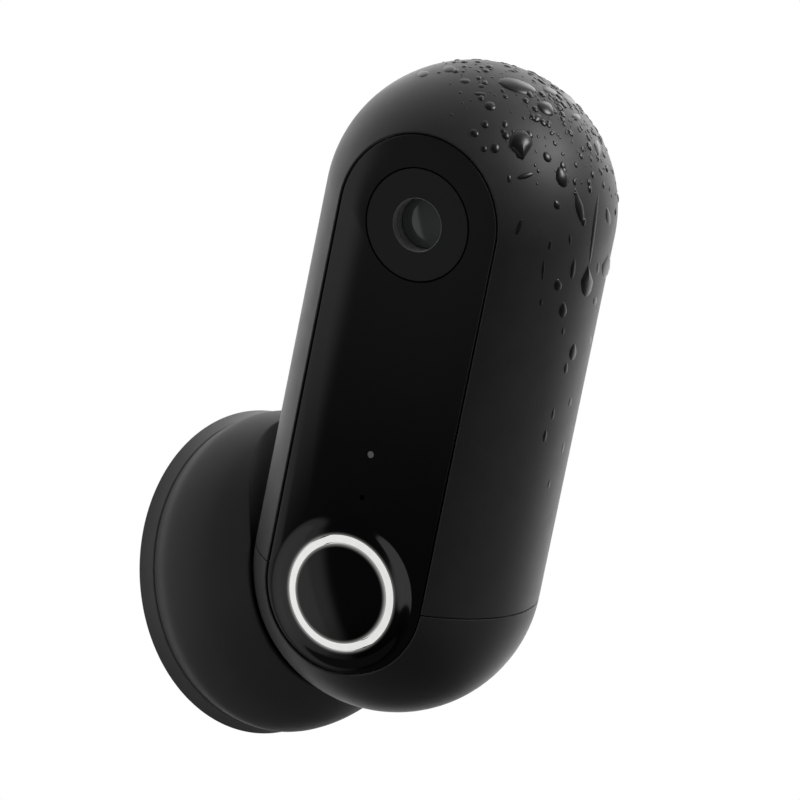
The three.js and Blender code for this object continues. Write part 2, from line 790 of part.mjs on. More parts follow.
// Steel lining behind the lower shell that the mount's magnet pulls on, open towards the front.
function steelArmature() {
  const outer = cavityRadius - 2 * fitGap;
  const inner = outer - armatureThickness;
  const outside = arcPoints(outer, 0, armatureBottomAngle, armatureTopAngle, insideSteps / 2);
  const inside = arcPoints(inner, 0, armatureTopAngle, armatureBottomAngle, insideSteps / 2);
  return turnedZ([...outside, ...inside, outside[0]], insideSegments)
    .intersect(behind(-armatureFrontShare * outer));
}

// Mount

const atBall = (solid) => solid.translate([0, -ballDistance, 0]);

function cupOutline(inset, lastShare) {
  const curve = new THREE.SplineCurve([
    new THREE.Vector2(cupBaseRadius, cupBackDepth), new THREE.Vector2(cupBellyRadius, cupBellyDepth),
    new THREE.Vector2(cupShoulderRadius, cupShoulderDepth), new THREE.Vector2(cupRimRadius, cupRimDepth),
  ]);
  return Array.from({ length: cupSteps + 1 }, (unused, i) => {
    const point = curve.getPoint((lastShare * i) / cupSteps);
    return [point.x - inset, -point.y];
  });
}

// Ball seat: the pill leaning by the least lean, so the body stands in a trough above the ball.
function seatTool(radius, segments, steps) {
  return atBall(pill(radius, segments, steps).rotate([seatLean, 0, 0]));
}

// Shallow round pocket in the seat for the liner, a cone's share of a sphere about the mount's axis.
function pocketTool(radius, segments) {
  return atBall(turnedY([...arcPoints(radius, 0, 0, seatPocketAngle, insideSteps), [0, 0]], segments));
}

const pocketMagnetRadius = magnetRadius + fitGap + yokeWall + fitGap;
const pocketOuterRadius = pocketMagnetRadius + pocketWall;
const magnetFrontDepth = cupBackDepth + yokeBase + fitGap + magnetThickness;
const hookAngles = Array.from({ length: hookCount }, (unused, i) => 90 + (360 * i) / hookCount);
const hookFrontDepth = wallPlateThickness + hookPostHeight;

// A block given by its place along, across and out from the mount, turned about the mount's axis.
function radialBlock(angle, innerRadius, outerRadius, width, fromDepth, toDepth) {
  return block(innerRadius, outerRadius, -toDepth, -fromDepth, -width / 2, width / 2).rotate([0, -angle, 0]);
}

function mountCup() {
  const outline = cupOutline(0, 1);
  const outside = turnedY([[0, -cupBackDepth], ...outline, [0, -cupRimDepth]], shellSegments);
  const inset = cupOutline(cupWall, 1);
  const hollow = turnedY([
    [pocketOuterRadius, overrun], [cupBaseRadius - cupWall, overrun], ...inset,
    [pocketOuterRadius, -cupRimDepth], [pocketOuterRadius, overrun],
  ], insideSegments)
    .subtract(seatTool(seatRadius + cupWall, insideSegments, insideSteps))
    .subtract(pocketTool(pocketRadius + cupWall, insideSegments));
  let cup = outside.subtract(hollow);
  for (const angle of hookAngles) {
    const lug = radialBlock(angle, hookRadius + hookPostThickness / 2 + fitGap, cupBaseRadius - cupWall / 2,
      hookWidth, cupBackDepth, hookFrontDepth - fitGap);
    cup = cup.add(lug);
  }
  return cup
    .subtract(discY(pocketMagnetRadius, -magnetFrontDepth - fitGap, overrun, 0, 0, discSegments))
    .subtract(seatTool(seatRadius))
    .subtract(pocketTool(pocketRadius, insideSegments))
    .subtract(lockHole());
}

function lockHole() {
  return discZ(lockScrewRadius + fitGap, -wallPlateRadius - overrun, -cupBaseRadius + 2 * cupWall,
    0, -lockScrewDepth, screwSegments);
}

const lockTabOuter = cupBaseRadius - 2 * cupWall;

function lockScrew() {
  return discZ(lockScrewRadius, -cupBaseRadius - fitGap, -lockTabOuter - fitGap,
    0, -lockScrewDepth, screwSegments);
}

function wallPlate() {
  const profile = [[0, 0], [wallPlateRadius, 0], [wallPlateFrontRadius, -wallPlateThickness],
    [0, -wallPlateThickness]];
  let plate = turnedY(profile, shellSegments);
  for (const angle of hookAngles) {
    const inner = hookRadius - hookPostThickness / 2;
    const outer = hookRadius + hookPostThickness / 2;
    plate = plate
      .add(radialBlock(angle, inner, outer, hookWidth, wallPlateThickness / 2, hookFrontDepth))
      .add(radialBlock(angle, inner, outer + hookLipReach, hookWidth, hookFrontDepth,
        hookFrontDepth + hookLipThickness));
  }
  plate = plate.add(radialBlock(-90, lockTabOuter - lockTabThickness, lockTabOuter, hookWidth,
    wallPlateThickness / 2, wallPlateThickness + lockTabHeight));
  for (const side of [-1, 1]) {
    const countersink = [[0, overrun], [wallScrewRadius, overrun], [wallScrewRadius, -wallPlateThickness / 2],
      [wallScrewHeadRadius, -wallPlateThickness], [wallScrewHeadRadius, -wallPlateThickness - overrun],
      [0, -wallPlateThickness - overrun]];
    plate = plate.subtract(turnedY(countersink, smallSegments, side * wallScrewCircle, 0));
  }
  return plate;
}

function magnetYoke() {
  const outer = magnetRadius + fitGap + yokeWall;
  const inner = magnetRadius + fitGap;
  const profile = [[0, -cupBackDepth], [outer, -cupBackDepth], [outer, -magnetFrontDepth],
    [inner, -magnetFrontDepth], [inner, -cupBackDepth - yokeBase], [0, -cupBackDepth - yokeBase]];
  return turnedY(profile, discSegments);
}

const magnet = () => discY(magnetRadius, -magnetFrontDepth, -cupBackDepth - yokeBase - fitGap);

// Thin spherical washer between the ball and its seat.
function swivelLiner() {
  const inner = bodyRadius + (seatGap + seatPocketDepth - linerThickness) / 2;
  const outer = inner + linerThickness;
  const steps = insideSteps / 3;
  const near = arcPoints(inner, 0, linerInnerAngle, linerOuterAngle, steps);
  const far = arcPoints(outer, 0, linerOuterAngle, linerInnerAngle, steps);
  return atBall(turnedY([...near, ...far, near[0]], discSegments));
}

// Finishes

const finish = (color, roughness, metalness = 0) =>
  new THREE.MeshStandardMaterial({ color, roughness, metalness });
const finishes = {
  mattBlack: finish(0x2b2b2c, 0.6),
  mountBlack: finish(0x343434, 0.65),
  glossBlack: finish(0x0b0b0c, 0.12),
  glowWhite: finish(0xf4f4f2, 0.4),
  glass: finish(0x39413f, 0.05),
  windowGrey: finish(0x9a9a98, 0.35),
  rubber: finish(0x151515, 0.85),
  steel: finish(0x8e9093, 0.35, 1),
  nickel: finish(0xb5b2a8, 0.25, 1),
  board: finish(0x1f4d34, 0.55),
  chip: finish(0x18181a, 0.4),
  frame: finish(0x3a3d40, 0.6),
  cellWrap: finish(0x3d5a78, 0.45),
};

function named(name, solid, material) {
  const mesh = new THREE.Mesh(geometryOf(solid), material);
  mesh.name = name;
  return mesh;
}

const numbered = (name, items, make, material) =>
  items.map((item, i) => named(`${name}_${i + 1}`, make(item), material));
const counting = (count) => Array.from({ length: count }, (unused, i) => i);

const body = new THREE.Group();
body.position.set(0, -ballDistance, 0);
body.rotation.set(THREE.MathUtils.degToRad(bodyTilt), 0, THREE.MathUtils.degToRad(bodySpin), "XYZ");
body.add(
  named("upper_housing", upperHousing(), finishes.mattBlack),
  named("bottom_cap", bottomCap(), finishes.mattBlack),
  named("cap_seal", capSeal(), finishes.rubber),
  named("front_plate", frontPlate(), finishes.glossBlack),
  named("plate_gasket", plateGasket(), finishes.rubber),
  named("lens_bezel", lensBezel(), finishes.glossBlack),
  named("lens_barrel", lensBarrel(), finishes.frame),
  named("front_lens", frontLens(), finishes.glass),
  named("rear_lens", rearLens(), finishes.glass),
  named("lens_holder", lensHolder(), finishes.frame),
  named("image_sensor", imageSensor(), finishes.chip),
  named("sensor_board", sensorBoard(), finishes.board),
  named("ir_board", irBoard(), finishes.board),
  ...numbered("ir_led", counting(irLedCount), irLed, finishes.windowGrey),
  named("light_ring", lightRing(), finishes.glowWhite),
  named("ring_board", ringBoard(), finishes.board),
  ...numbered("ring_led", counting(ringLedCount), ringLed, finishes.windowGrey),
  named("push_cap", pushCap(), finishes.glossBlack),
  named("push_spring", pushSpring(), finishes.steel),
  named("ring_carrier", ringCarrier(), finishes.frame),
  named("tact_switch", tactSwitch(), finishes.chip),
  named("sensor_window", sensorWindow(), finishes.windowGrey),
  named("light_sensor", lightSensor(), finishes.chip),
  named("microphone", microphone(), finishes.nickel),
  named("front_board", frontBoard(), finishes.board),
  ...numbered("board_screw", boardPosts, boardScrew, finishes.steel),
  named("main_board", mainBoard(), finishes.board),
  named("chassis", chassis(), finishes.frame),
  ...numbered("chassis_screw", bossPlaces, chassisScrew, finishes.steel),
  named("antenna", antenna(), finishes.nickel),
  ...numbered("battery_cell", [-1, 1], cell, finishes.cellWrap),
  named("lower_contact", lowerContact(), finishes.nickel),
  named("upper_contact", upperContact(), finishes.nickel),
  named("speaker", speaker(), finishes.frame),
  named("usb_socket", usbSocket(), finishes.nickel),
  named("reset_button", resetButton(), finishes.chip),
  named("reset_plunger", resetPlunger(), finishes.windowGrey),
  named("steel_armature", steelArmature(), finishes.steel),
);

const group = new THREE.Group();
group.add(
  named("wall_plate", wallPlate(), finishes.mountBlack),
  named("mount_cup", mountCup(), finishes.mountBlack),
  named("magnet_yoke", magnetYoke(), finishes.steel),
  named("magnet", magnet(), finishes.nickel),
  named("lock_screw", lockScrew(), finishes.steel),
  named("swivel_liner", swivelLiner(), finishes.rubber),
  body,
);

export default group;
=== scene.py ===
# Video doorbell: a pill-shaped battery camera that leans out of a round magnetic wall mount.
import json
from collections import namedtuple
from math import acos, asin, cos, pi, radians, sin, sqrt

import bmesh
import bpy
from mathutils import Matrix, Vector
from mathutils.bvhtree import BVHTree


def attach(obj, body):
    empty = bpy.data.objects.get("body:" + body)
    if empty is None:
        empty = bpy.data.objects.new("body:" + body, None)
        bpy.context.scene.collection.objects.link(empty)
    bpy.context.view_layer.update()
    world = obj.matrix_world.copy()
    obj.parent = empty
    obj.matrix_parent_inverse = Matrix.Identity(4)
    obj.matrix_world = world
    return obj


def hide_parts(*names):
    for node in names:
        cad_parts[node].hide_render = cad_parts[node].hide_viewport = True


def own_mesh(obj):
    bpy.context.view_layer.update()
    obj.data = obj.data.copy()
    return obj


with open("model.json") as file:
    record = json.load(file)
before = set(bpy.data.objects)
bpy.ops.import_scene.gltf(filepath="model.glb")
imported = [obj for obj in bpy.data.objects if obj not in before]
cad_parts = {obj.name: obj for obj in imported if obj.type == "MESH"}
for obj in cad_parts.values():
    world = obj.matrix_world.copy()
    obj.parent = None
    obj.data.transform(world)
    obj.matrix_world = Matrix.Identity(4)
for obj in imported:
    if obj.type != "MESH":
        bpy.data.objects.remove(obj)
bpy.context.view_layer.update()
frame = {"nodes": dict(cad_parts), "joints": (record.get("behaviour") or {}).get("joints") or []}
nodes = frame["nodes"]
mm = 0.001
scene = bpy.context.scene

# Camera. It stands in front of the wall and to the left of the mount, level with it, far enough away that
# the pill's sides stay nearly parallel.
camera_data = bpy.data.cameras.new("camera")
camera_data.sensor_width = 36
camera_data.lens = 344.7
camera_data.clip_end = 20
camera = bpy.data.objects.new("camera", camera_data)
scene.collection.objects.link(camera)
camera_place = Vector((-0.8507, -0.9943, 0.0299))
camera_right = Vector((0.74608, -0.6635, -0.05613)).normalized()
camera_back = Vector((-0.66449, -0.7473, 0.00146)).normalized()
camera_up = camera_back.cross(camera_right)
camera.matrix_world = Matrix.Translation(camera_place) @ Matrix(
    (camera_right, camera_up, camera_back)).transposed().to_4x4()
scene.camera = camera
scene.view_settings.view_transform = "Standard"


# Studio. A pale floor below the mount, soft boxes above, in front and at both sides, and a sky that is bright
# behind the object and dim in front of it, so the black plastic shows its edges. The camera sees sky and
# floor as plain white.
class Value:
    """A shader socket that can stand in a sum."""

    def __init__(self, shader, socket):
        self.shader = shader
        self.socket = socket

    def maths(self, operation, first, second):
        return self.shader.node("ShaderNodeMath", {"operation": operation}, {0: first, 1: second})

    def __add__(self, other):
        return self.maths("ADD", self, other)

    def __radd__(self, other):
        return self.maths("ADD", other, self)

    def __sub__(self, other):
        return self.maths("SUBTRACT", self, other)

    def __rsub__(self, other):
        return self.maths("SUBTRACT", other, self)

    def __mul__(self, other):
        return self.maths("MULTIPLY", self, other)

    def __rmul__(self, other):
        return self.maths("MULTIPLY", other, self)

    def __pow__(self, other):
        return self.maths("POWER", self, other)


class Shader:
    """The node tree of a material or of the world."""

    def __init__(self, tree):
        self.tree = tree
        self.tree.nodes.clear()

    def plug(self, made, inputs):
        """Gives a node's inputs plain values, or links to what other nodes put out."""
        for name, value in inputs.items():
            if isinstance(value, Value):
                self.tree.links.new(value.socket, made.inputs[name])
            else:
                made.inputs[name].default_value = value

    def node(self, kind, settings=None, inputs=None, output=0):
        made = self.tree.nodes.new(kind)
        for name, value in (settings or {}).items():
            setattr(made, name, value)
        self.plug(made, inputs or {})
        return Value(self, made.outputs[output]) if len(made.outputs) else None

    def smooth(self, value, low, high):
        """0 at low and 1 at high, with soft ends."""
        return self.node("ShaderNodeMapRange", {"interpolation_type": "SMOOTHSTEP"},
                         {"Value": value, "From Min": low, "From Max": high})

    def mix(self, factor, first, second):
        """One colour fading into another."""
        return self.node("ShaderNodeMix", {"data_type": "RGBA"}, {0: factor, 6: first, 7: second}, 2)

    def position(self, turned=None):
        """Object coordinates, moved and turned into a piece's own frame."""
        place = self.node("ShaderNodeTexCoord", output="Object")
        if turned is None:
            return place
        offset, rotation, _ = turned.decompose()
        return self.node("ShaderNodeMapping", {"vector_type": "TEXTURE"},
                         {"Vector": place, "Location": offset, "Rotation": rotation.to_euler()})

    def axis(self, place, letter):
        return self.node("ShaderNodeSeparateXYZ", inputs={0: place}, output="XYZ".index(letter))

    def dot(self, first, second):
        return self.node("ShaderNodeVectorMath", {"operation": "DOT_PRODUCT"}, {0: first, 1: second}, 1)

    def reach(self, place, across, height=0):
        """Distance from an axis at one height: across is 0 along the axis and 1 along the other ways."""
        flat = self.node("ShaderNodeVectorMath", {"operation": "MULTIPLY_ADD"},
                         {0: place, 1: across, 2: (0, 0, -height * mm)})
        return self.node("ShaderNodeVectorMath", {"operation": "LENGTH"}, {0: flat}, 1)

    def noise(self, place, scale, detail):
        return self.node("ShaderNodeTexNoise", inputs={"Vector": place, "Scale": scale, "Detail": detail})


sky_front = 0.05
sky_side = 0.5
sky_back = 1.4
sky_low = 0.03
side_axis = Vector((0.171, 0.985, 0))
side_fade = (0.03, 0.12)
back_fade = (0.1, 0.85)
low_fade = (-0.7, -0.3)
world = bpy.data.worlds.new("studio")
scene.world = world
world.use_nodes = True
sky = Shader(world.node_tree)
direction = sky.node("ShaderNodeTexCoord", output="Generated")
behind = sky.dot(direction, -camera_back)
beside = sky.dot(direction, side_axis)
level = (sky_front + (sky_side - sky_front) * sky.smooth(beside, *side_fade)
         + (sky_back - sky_side) * sky.smooth(behind, *back_fade))
level = level * (sky_low + (1 - sky_low) * sky.smooth(sky.axis(direction, "Z"), *low_fade))
seen = sky.node("ShaderNodeLightPath", output="Is Camera Ray")
strength = level * (1 - seen) + seen
backdrop = sky.node("ShaderNodeBackground", inputs={"Color": (1, 1, 1, 1), "Strength": strength})
sky.node("ShaderNodeOutputWorld", inputs={0: backdrop})


def soft_box(name, place, target, size, power):
    """A rectangular lamp that looks at a point."""
    data = bpy.data.lights.new(name, "AREA")
    data.shape = "RECTANGLE"
    data.size, data.size_y = size
    data.energy = power
    lamp = bpy.data.objects.new(name, data)
    lamp.location = place
    lamp.rotation_euler = (Vector(target) - Vector(place)).to_track_quat("-Z", "Y").to_euler()
    scene.collection.objects.link(lamp)


pill_middle = (0, -0.04, 0.03)
soft_box("top_box", (0.2, -0.2, 0.8), pill_middle, (0.6, 0.6), 0.4)
soft_box("front_box", (0.62, -0.98, 0.72), pill_middle, (0.6, 0.5), 13)
soft_box("right_box", (0.75, 0.15, 0.45), (0, -0.04, 0.05), (0.35, 0.6), 1.3)
soft_box("left_box", (-0.68, 0.47, -0.05), pill_middle, (0.5, 0.9), 0.24)
soft_box("push_box", (-0.78, -0.3, -0.1), (-0.02, -0.04, 0), (0.2, 0.45), 0.26)

floor_depth = 0.26
floor_reach = 0.35
floor_mesh = bpy.data.meshes.new("floor")
floor_mesh.from_pydata([(x * floor_reach, y * floor_reach, -floor_depth)
                        for x, y in ((-1, -1), (1, -1), (1, 1), (-1, 1))], [], [(0, 1, 2, 3)])
floor = bpy.data.objects.new("floor", floor_mesh)
scene.collection.objects.link(floor)
floor_material = bpy.data.materials.new("pale_floor")
floor_material.use_nodes = True
paper = Shader(floor_material.node_tree)
paper_seen = paper.node("ShaderNodeLightPath", output="Is Camera Ray")
paper_matt = paper.node("ShaderNodeBsdfDiffuse", inputs={"Color": (0.1, 0.1, 0.1, 1)})
paper_white = paper.node("ShaderNodeEmission", inputs={"Strength": paper_seen})
paper_both = paper.node("ShaderNodeAddShader", inputs={0: paper_matt, 1: paper_white})
paper.node("ShaderNodeOutputMaterial", inputs={0: paper_both})
floor_mesh.materials.append(floor_material)

# Body frame. The ball joint's centre, the spin axis up the body and the push's way inwards give the frame
# that every piece of the camera body is drawn in: +Z up the pill, -Y out of its flat front.
joints = {joint["name"]: joint for joint in frame["joints"]}
ball = Vector(joints["spin"]["pos_m"])
body_up = Vector(joints["spin"]["axis"]).normalized()
body_in = Vector(joints["push_press"]["axis"]).normalized()
body_side = body_in.cross(body_up)
body_frame = Matrix.Translation(ball) @ Matrix((body_side, body_in, body_up)).transposed().to_4x4()


# Shell. A moulded pill in two halves with a flat front pocket: upper housing and bottom cap meet at a thin
# seam round the lower half-sphere's middle. Textured black plastic, 2 mm walls, with a 2.4 mm ledge behind
# the plate.
def finish_of(name, slot_colour, roughness, specular=0.5):
    """A material with its main shader's plain values set, and what adds nodes to it."""
    material = bpy.data.materials.new(name)
    material.use_nodes = True
    shader = Shader(material.node_tree)
    shader.material = material
    shader.surface = shader.tree.nodes.new("ShaderNodeBsdfPrincipled")
    shader.node("ShaderNodeOutputMaterial", inputs={0: Value(shader, shader.surface.outputs[0])})
    feed(shader, Base_Color=(*slot_colour, 1), Roughness=roughness, Specular_IOR_Level=specular)
    return shader


def feed(shader, **sockets):
    """Sets or links the main shader's sockets, whose names are written with underscores."""
    shader.plug(shader.surface, {name.replace("_", " "): value for name, value in sockets.items()})


def bump(shader, height, depth, strength):
    """Shades the surface by a height of up to so many millimetres."""
    feed(shader, Normal=shader.node("ShaderNodeBump", inputs={
        "Height": height, "Distance": depth * mm, "Strength": strength}))


def clouded(shader, place, scale, detail, dark, light, gloss, spread):
    """Soft clouds of two shades, with a roughness that varies along with them."""
    cloud = shader.noise(place, scale, detail)
    feed(shader, Base_Color=shader.mix(cloud, (*dark, 1), (*light, 1)), Roughness=gloss + spread * cloud)


def made_of(piece, shader, body, slot, *stands_for):
    """Finishes a piece: its material, the body it rides on and the CAD nodes it hides. The slot is not used.
    """
    piece.data.materials.clear()
    piece.data.materials.append(shader.material)
    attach(piece, body)
    if stands_for:
        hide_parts(*stands_for)


weld = 0.002


def piece_of(name, bm, place, crease=30, bevel=0.0):
    """Closes a bmesh in millimetres into an object, smooth except at creases, with narrow rounds on them."""
    bmesh.ops.remove_doubles(bm, verts=bm.verts, dist=weld)
    bmesh.ops.recalc_face_normals(bm, faces=bm.faces)
    bm.transform(place @ Matrix.Scale(mm, 4))
    mesh = bpy.data.meshes.new(name)
    bm.to_mesh(mesh)
    bm.free()
    piece = bpy.data.objects.new(name, mesh)
    scene.collection.objects.link(piece)
    for face in mesh.polygons:
        face.use_smooth = True
    if bevel:
        rounds = piece.modifiers.new("rounds", "BEVEL")
        rounds.width = bevel * mm
        rounds.segments = 2
        rounds.limit_method = "ANGLE"
        rounds.angle_limit = radians(crease)
        rounds.harden_normals = True
        settle(piece)
    else:
        mesh.set_sharp_from_angle(angle=radians(crease))
    return piece


def settle(piece):
    """Turns a piece and its modifiers into a plain mesh."""
    depsgraph = bpy.context.evaluated_depsgraph_get()
    settled = bpy.data.meshes.new_from_object(piece.evaluated_get(depsgraph))
    piece.modifiers.clear()
    piece.data = settled


def loft(bm, rows, closed=True):
    """Faces between neighbouring rows of points. A closed row meets its own first point."""
    grid = [[bm.verts.new(point) for point in row] for row in rows]
    count = len(rows[0])
    for low, high in zip(grid, grid[1:]):
        for i in range(count if closed else count - 1):
            j = (i + 1) % count
            bm.faces.new((low[i], low[j], high[j], high[i]))
    return grid


shell_radius = 24.2
shell_length = 63.8
shell_wall = 2
face_y = -19.05
rim_land = 0.25
plate_gap = 0.25
plate_thickness = 1.6
gasket_thickness = 0.5
ledge_thickness = 2
ledge_width = 2.4
seam_half = 0.125
shell_round = 0.08
round_steps = 96
tip_steps = 26
pole_steps = 14
inner_radius = shell_radius - shell_wall
ledge_front = face_y + plate_thickness + 2 * plate_gap + gasket_thickness
ledge_back = ledge_front + ledge_thickness
face_half = sqrt(shell_radius ** 2 - face_y ** 2)
pocket_half = face_half - rim_land
window_half = pocket_half - ledge_width
cavity_half = sqrt(inner_radius ** 2 - ledge_back ** 2)


def shell_arc(radius, cut_y, height, centre_z, reversed_way):
    """Points round the pill at a height over a sphere's centre, from one edge of the front to the other."""
    ring = sqrt(max(radius ** 2 - height ** 2, 0))
    start = acos(min(-cut_y / ring, 1)) if ring > 0 else 0
    turns = [start + (2 * pi - 2 * start) * i / round_steps for i in range(round_steps + 1)]
    points = [(ring * sin(turn), -ring * cos(turn), centre_z + height) for turn in turns]
    return points[::-1] if reversed_way else points


def shell_section(share, sign, centre_z):
    """The shell's closed outline, share of a quarter turn up the round end of the front pocket."""
    rise = sin(share * pi / 2) * sign
    run = cos(share * pi / 2)
    levels = ((pocket_half, face_y), (pocket_half, ledge_front), (window_half, ledge_front),
              (window_half, ledge_back))
    near = [(half * run, y, centre_z + half * rise) for half, y in levels]
    far = [(-x, y, z) for x, y, z in near]
    outer = shell_arc(shell_radius, face_y, face_half * rise, centre_z, False)
    inner = shell_arc(inner_radius, ledge_back, cavity_half * rise, centre_z, True)
    return outer + far + inner + near[::-1]


def shell_half(sign, straight, tip):
    """One half of the shell: its straight stretch, then the round end about a point on the axis."""
    bm = bmesh.new()
    rows = [shell_section(0, sign, z) for z in straight]
    rows += [shell_section(k / tip_steps, sign, tip) for k in range(1, tip_steps + 1)]
    bm.faces.new(loft(bm, rows)[0])
    for radius, half, cut, way in ((shell_radius, face_half, face_y, False),
                                   (inner_radius, cavity_half, ledge_back, True)):
        start = asin(half / radius)
        angles = [start + (pi / 2 - start) * k / pole_steps for k in range(pole_steps + 1)]
        heights = [sign * radius * sin(a) for a in angles]
        loft(bm, [shell_arc(radius, cut, height, tip, way) for height in heights], closed=False)
    return bm


tube_steps = 6
tube_heights = [seam_half] + [shell_length * k / tube_steps for k in range(1, tube_steps + 1)]
housing = piece_of("upper_shell", shell_half(1, tube_heights, shell_length), body_frame, bevel=shell_round)
cap = piece_of("lower_cap", shell_half(-1, [-seam_half], 0), body_frame, bevel=shell_round)

shell_finish = finish_of("textured_black_plastic", (0.021, 0.021, 0.0215), 0.5, 0.4)
shell_place = shell_finish.position(body_frame)
clouded(shell_finish, shell_place, 260, 3, (0.029, 0.029, 0.0295), (0.037, 0.037, 0.0375), 0.44, 0.12)
bump(shell_finish, shell_finish.noise(shell_place, 3200, 1.5), 0.02, 0.6)
feed(shell_finish, Sheen_Weight=0.3, Sheen_Roughness=0.35)
made_of(housing, shell_finish, "camera", "matt_black_plastic", "upper_housing")
made_of(cap, shell_finish, "camera", "matt_black_plastic", "bottom_cap")

# Front plate. One flat glossy black pane with round ends, glued into the pocket, that swells into a low dome
# round the bell push. Holes for the lens disc, the lit ring, a light sensor and a microphone.
plate_half = pocket_half - plate_gap
dome_margin = 1
dome_radius = plate_half - dome_margin
dome_rise = 1.6
dome_curve = (dome_radius ** 2 + dome_rise ** 2) / (2 * dome_rise)
dome_blend = 2.2
ring_outer = dome_radius - 3.8
ring_inner = ring_outer - 1
ring_gap = 0.2
push_z = -0.75
lens_z = shell_length - 0.5
bezel_radius = 9.3
bezel_gap = 0.25
sensor_z = 23.5
sensor_radius = 0.6
sensor_gap = 0.15
mic_z = 16
mic_radius = 0.45
edge_round = 0.2
edge_steps = 4
disc_steps = 128
small_steps = 32


def dome_y(radius):
    """Level of the dome's surface: a spherical cap whose foot runs out softly into the plate."""
    inner = dome_radius - dome_blend
    if radius <= inner:
        return face_y + dome_curve - dome_rise - sqrt(dome_curve ** 2 - radius ** 2)
    foot = dome_y(inner)
    slope = inner / sqrt(dome_curve ** 2 - inner ** 2) * dome_blend
    t = min((radius - inner) / dome_blend, 1)
    level = foot - face_y
    return face_y + level * (2 * t ** 3 - 3 * t ** 2 + 1) + slope * (t ** 3 - 2 * t ** 2 + t)


def ring_points(radius, y, centre_z, steps=disc_steps):
    return [(radius * cos(2 * pi * i / steps), y, centre_z + radius * sin(2 * pi * i / steps))
            for i in range(steps)]


def pane_outline(half, y, steps=disc_steps // 2):
    """The pane's outline: two half circles joined by straight sides."""
    angles = [pi * i / steps for i in range(steps + 1)]
    top = [(half * cos(a), y, shell_length + half * sin(a)) for a in angles]
    foot = [(-x, y, shell_length - z) for x, y, z in top]
    return top + foot


def flat_with_holes(bm, *loops):
    """A flat face between an outline and the holes in it, all at one level of y."""
    edges = []
    for points in loops:
        corners = [bm.verts.new(point) for point in points]
        edges += [bm.edges.new((a, b)) for a, b in zip(corners, corners[1:] + corners[:1])]
    bmesh.ops.triangle_fill(bm, edges=edges, use_beauty=True, use_dissolve=False, normal=(0, -1, 0))


def front_pane():
    bm = bmesh.new()
    plate_back = face_y + plate_thickness
    ring_hole = ring_outer + ring_gap
    lens_hole = bezel_radius + bezel_gap
    sensor_hole = sensor_radius + sensor_gap
    holes = ((lens_hole, lens_z, disc_steps), (sensor_hole, sensor_z, small_steps),
             (mic_radius, mic_z, small_steps))
    front = [ring_points(radius, face_y, z, steps) for radius, z, steps in holes]
    back = [ring_points(radius, plate_back, z, steps) for radius, z, steps in holes]
    flat_with_holes(bm, pane_outline(plate_half - edge_round, face_y),
                    ring_points(dome_radius, face_y, push_z), *front)
    flat_with_holes(bm, pane_outline(plate_half, plate_back),
                    ring_points(ring_hole, plate_back, push_z), *back)
    for near, far in zip(front, back):
        loft(bm, [near, far])
    dome_steps = 16
    radii = [ring_hole + (dome_radius - ring_hole) * k / dome_steps for k in range(dome_steps + 1)]
    dome = [ring_points(radius, dome_y(radius), push_z) for radius in radii]
    loft(bm, [ring_points(ring_hole, plate_back, push_z)] + dome)
    rounded = [(plate_half - edge_round * (1 - sin(a)), face_y + edge_round * (1 - cos(a)))
               for a in (pi / 2 * k / edge_steps for k in range(edge_steps + 1))]
    loft(bm, [pane_outline(half, y) for half, y in rounded] + [pane_outline(plate_half, plate_back)])
    return bm


pane = piece_of("front_pane", front_pane(), body_frame, crease=40)
pane_finish = finish_of("gloss_black_pane", (0.004, 0.004, 0.0042), 0.09, 0.45)
pane_place = pane_finish.position(body_frame)
pane_smear = pane_finish.noise(pane_place, 90, 3)
# Painted light: the pane's black is painted lighter towards its top, and a painted glow from the lit ring
# lies round it.
pane_painted_top_light = pane_finish.smooth(pane_finish.axis(pane_place, "Z"), 5 * mm, 75 * mm)
ring_distance = pane_finish.reach(pane_place, (1, 0, 1), push_z)
glow_start = ring_outer - 0.1
glow_end = ring_outer + 0.9
glow = (1 - pane_finish.smooth(ring_distance, glow_start * mm, glow_end * mm)) ** 2
feed(pane_finish,
     Base_Color=pane_finish.mix(pane_painted_top_light, (0.0008, 0.0008, 0.0008, 1), (0.034, 0.034, 0.0343, 1)),
     Roughness=0.07 + 0.04 * pane_smear,
     Emission_Color=pane_finish.mix(glow * 0.3, (0, 0, 0, 1), (1, 1, 0.98, 1)),
     Emission_Strength=1)
made_of(pane, pane_finish, "camera", "gloss_black", "front_plate")

# Lens disc. A separate moulded disc with a satin face round the camera's opening, pressed into the pane with
# a hairline gap. The wall of its opening is painted pale, a painted highlight where it catches the light.
aperture = 4.4
bezel_thickness = 1.4
bezel_edge = 0.06
bezel_back = face_y + bezel_thickness


def turned_y(profile, steps=disc_steps, x=0.0, z=0.0):
    """A surface turned about an axis that runs front to back, from (radius, y) points."""
    bm = bmesh.new()
    angles = [2 * pi * i / steps for i in range(steps)]
    loft(bm, [[(x + radius * cos(a), y, z + radius * sin(a)) for a in angles] for radius, y in profile])
    return bm


disc_profile = [(aperture, bezel_back), (aperture, face_y + bezel_edge), (aperture + bezel_edge, face_y),
                (bezel_radius - bezel_edge, face_y), (bezel_radius, face_y + bezel_edge),
                (bezel_radius, bezel_back), (aperture, bezel_back)]
lens_disc = piece_of("lens_disc", turned_y(disc_profile, z=lens_z), body_frame)
disc_finish = finish_of("satin_black_disc", (0.0095, 0.0095, 0.0095), 0.3, 0.5)
disc_place = disc_finish.position(body_frame)
disc_reach = disc_finish.reach(disc_place, (1, 0, 1), lens_z)
# Painted highlight: the wall of the opening is painted pale where light falls on it.
disc_wall_painted_light = 1 - disc_finish.smooth(disc_reach, (aperture + 0.02) * mm, (aperture + 0.1) * mm)
disc_grain = disc_finish.noise(disc_place, 3600, 2)
feed(disc_finish,
     Base_Color=disc_finish.mix(disc_wall_painted_light, (0.009, 0.009, 0.0091, 1), (0.62, 0.6, 0.61, 1)),
     Roughness=0.27 + 0.08 * disc_grain)
bump(disc_finish, disc_grain, 0.004, 0.5)
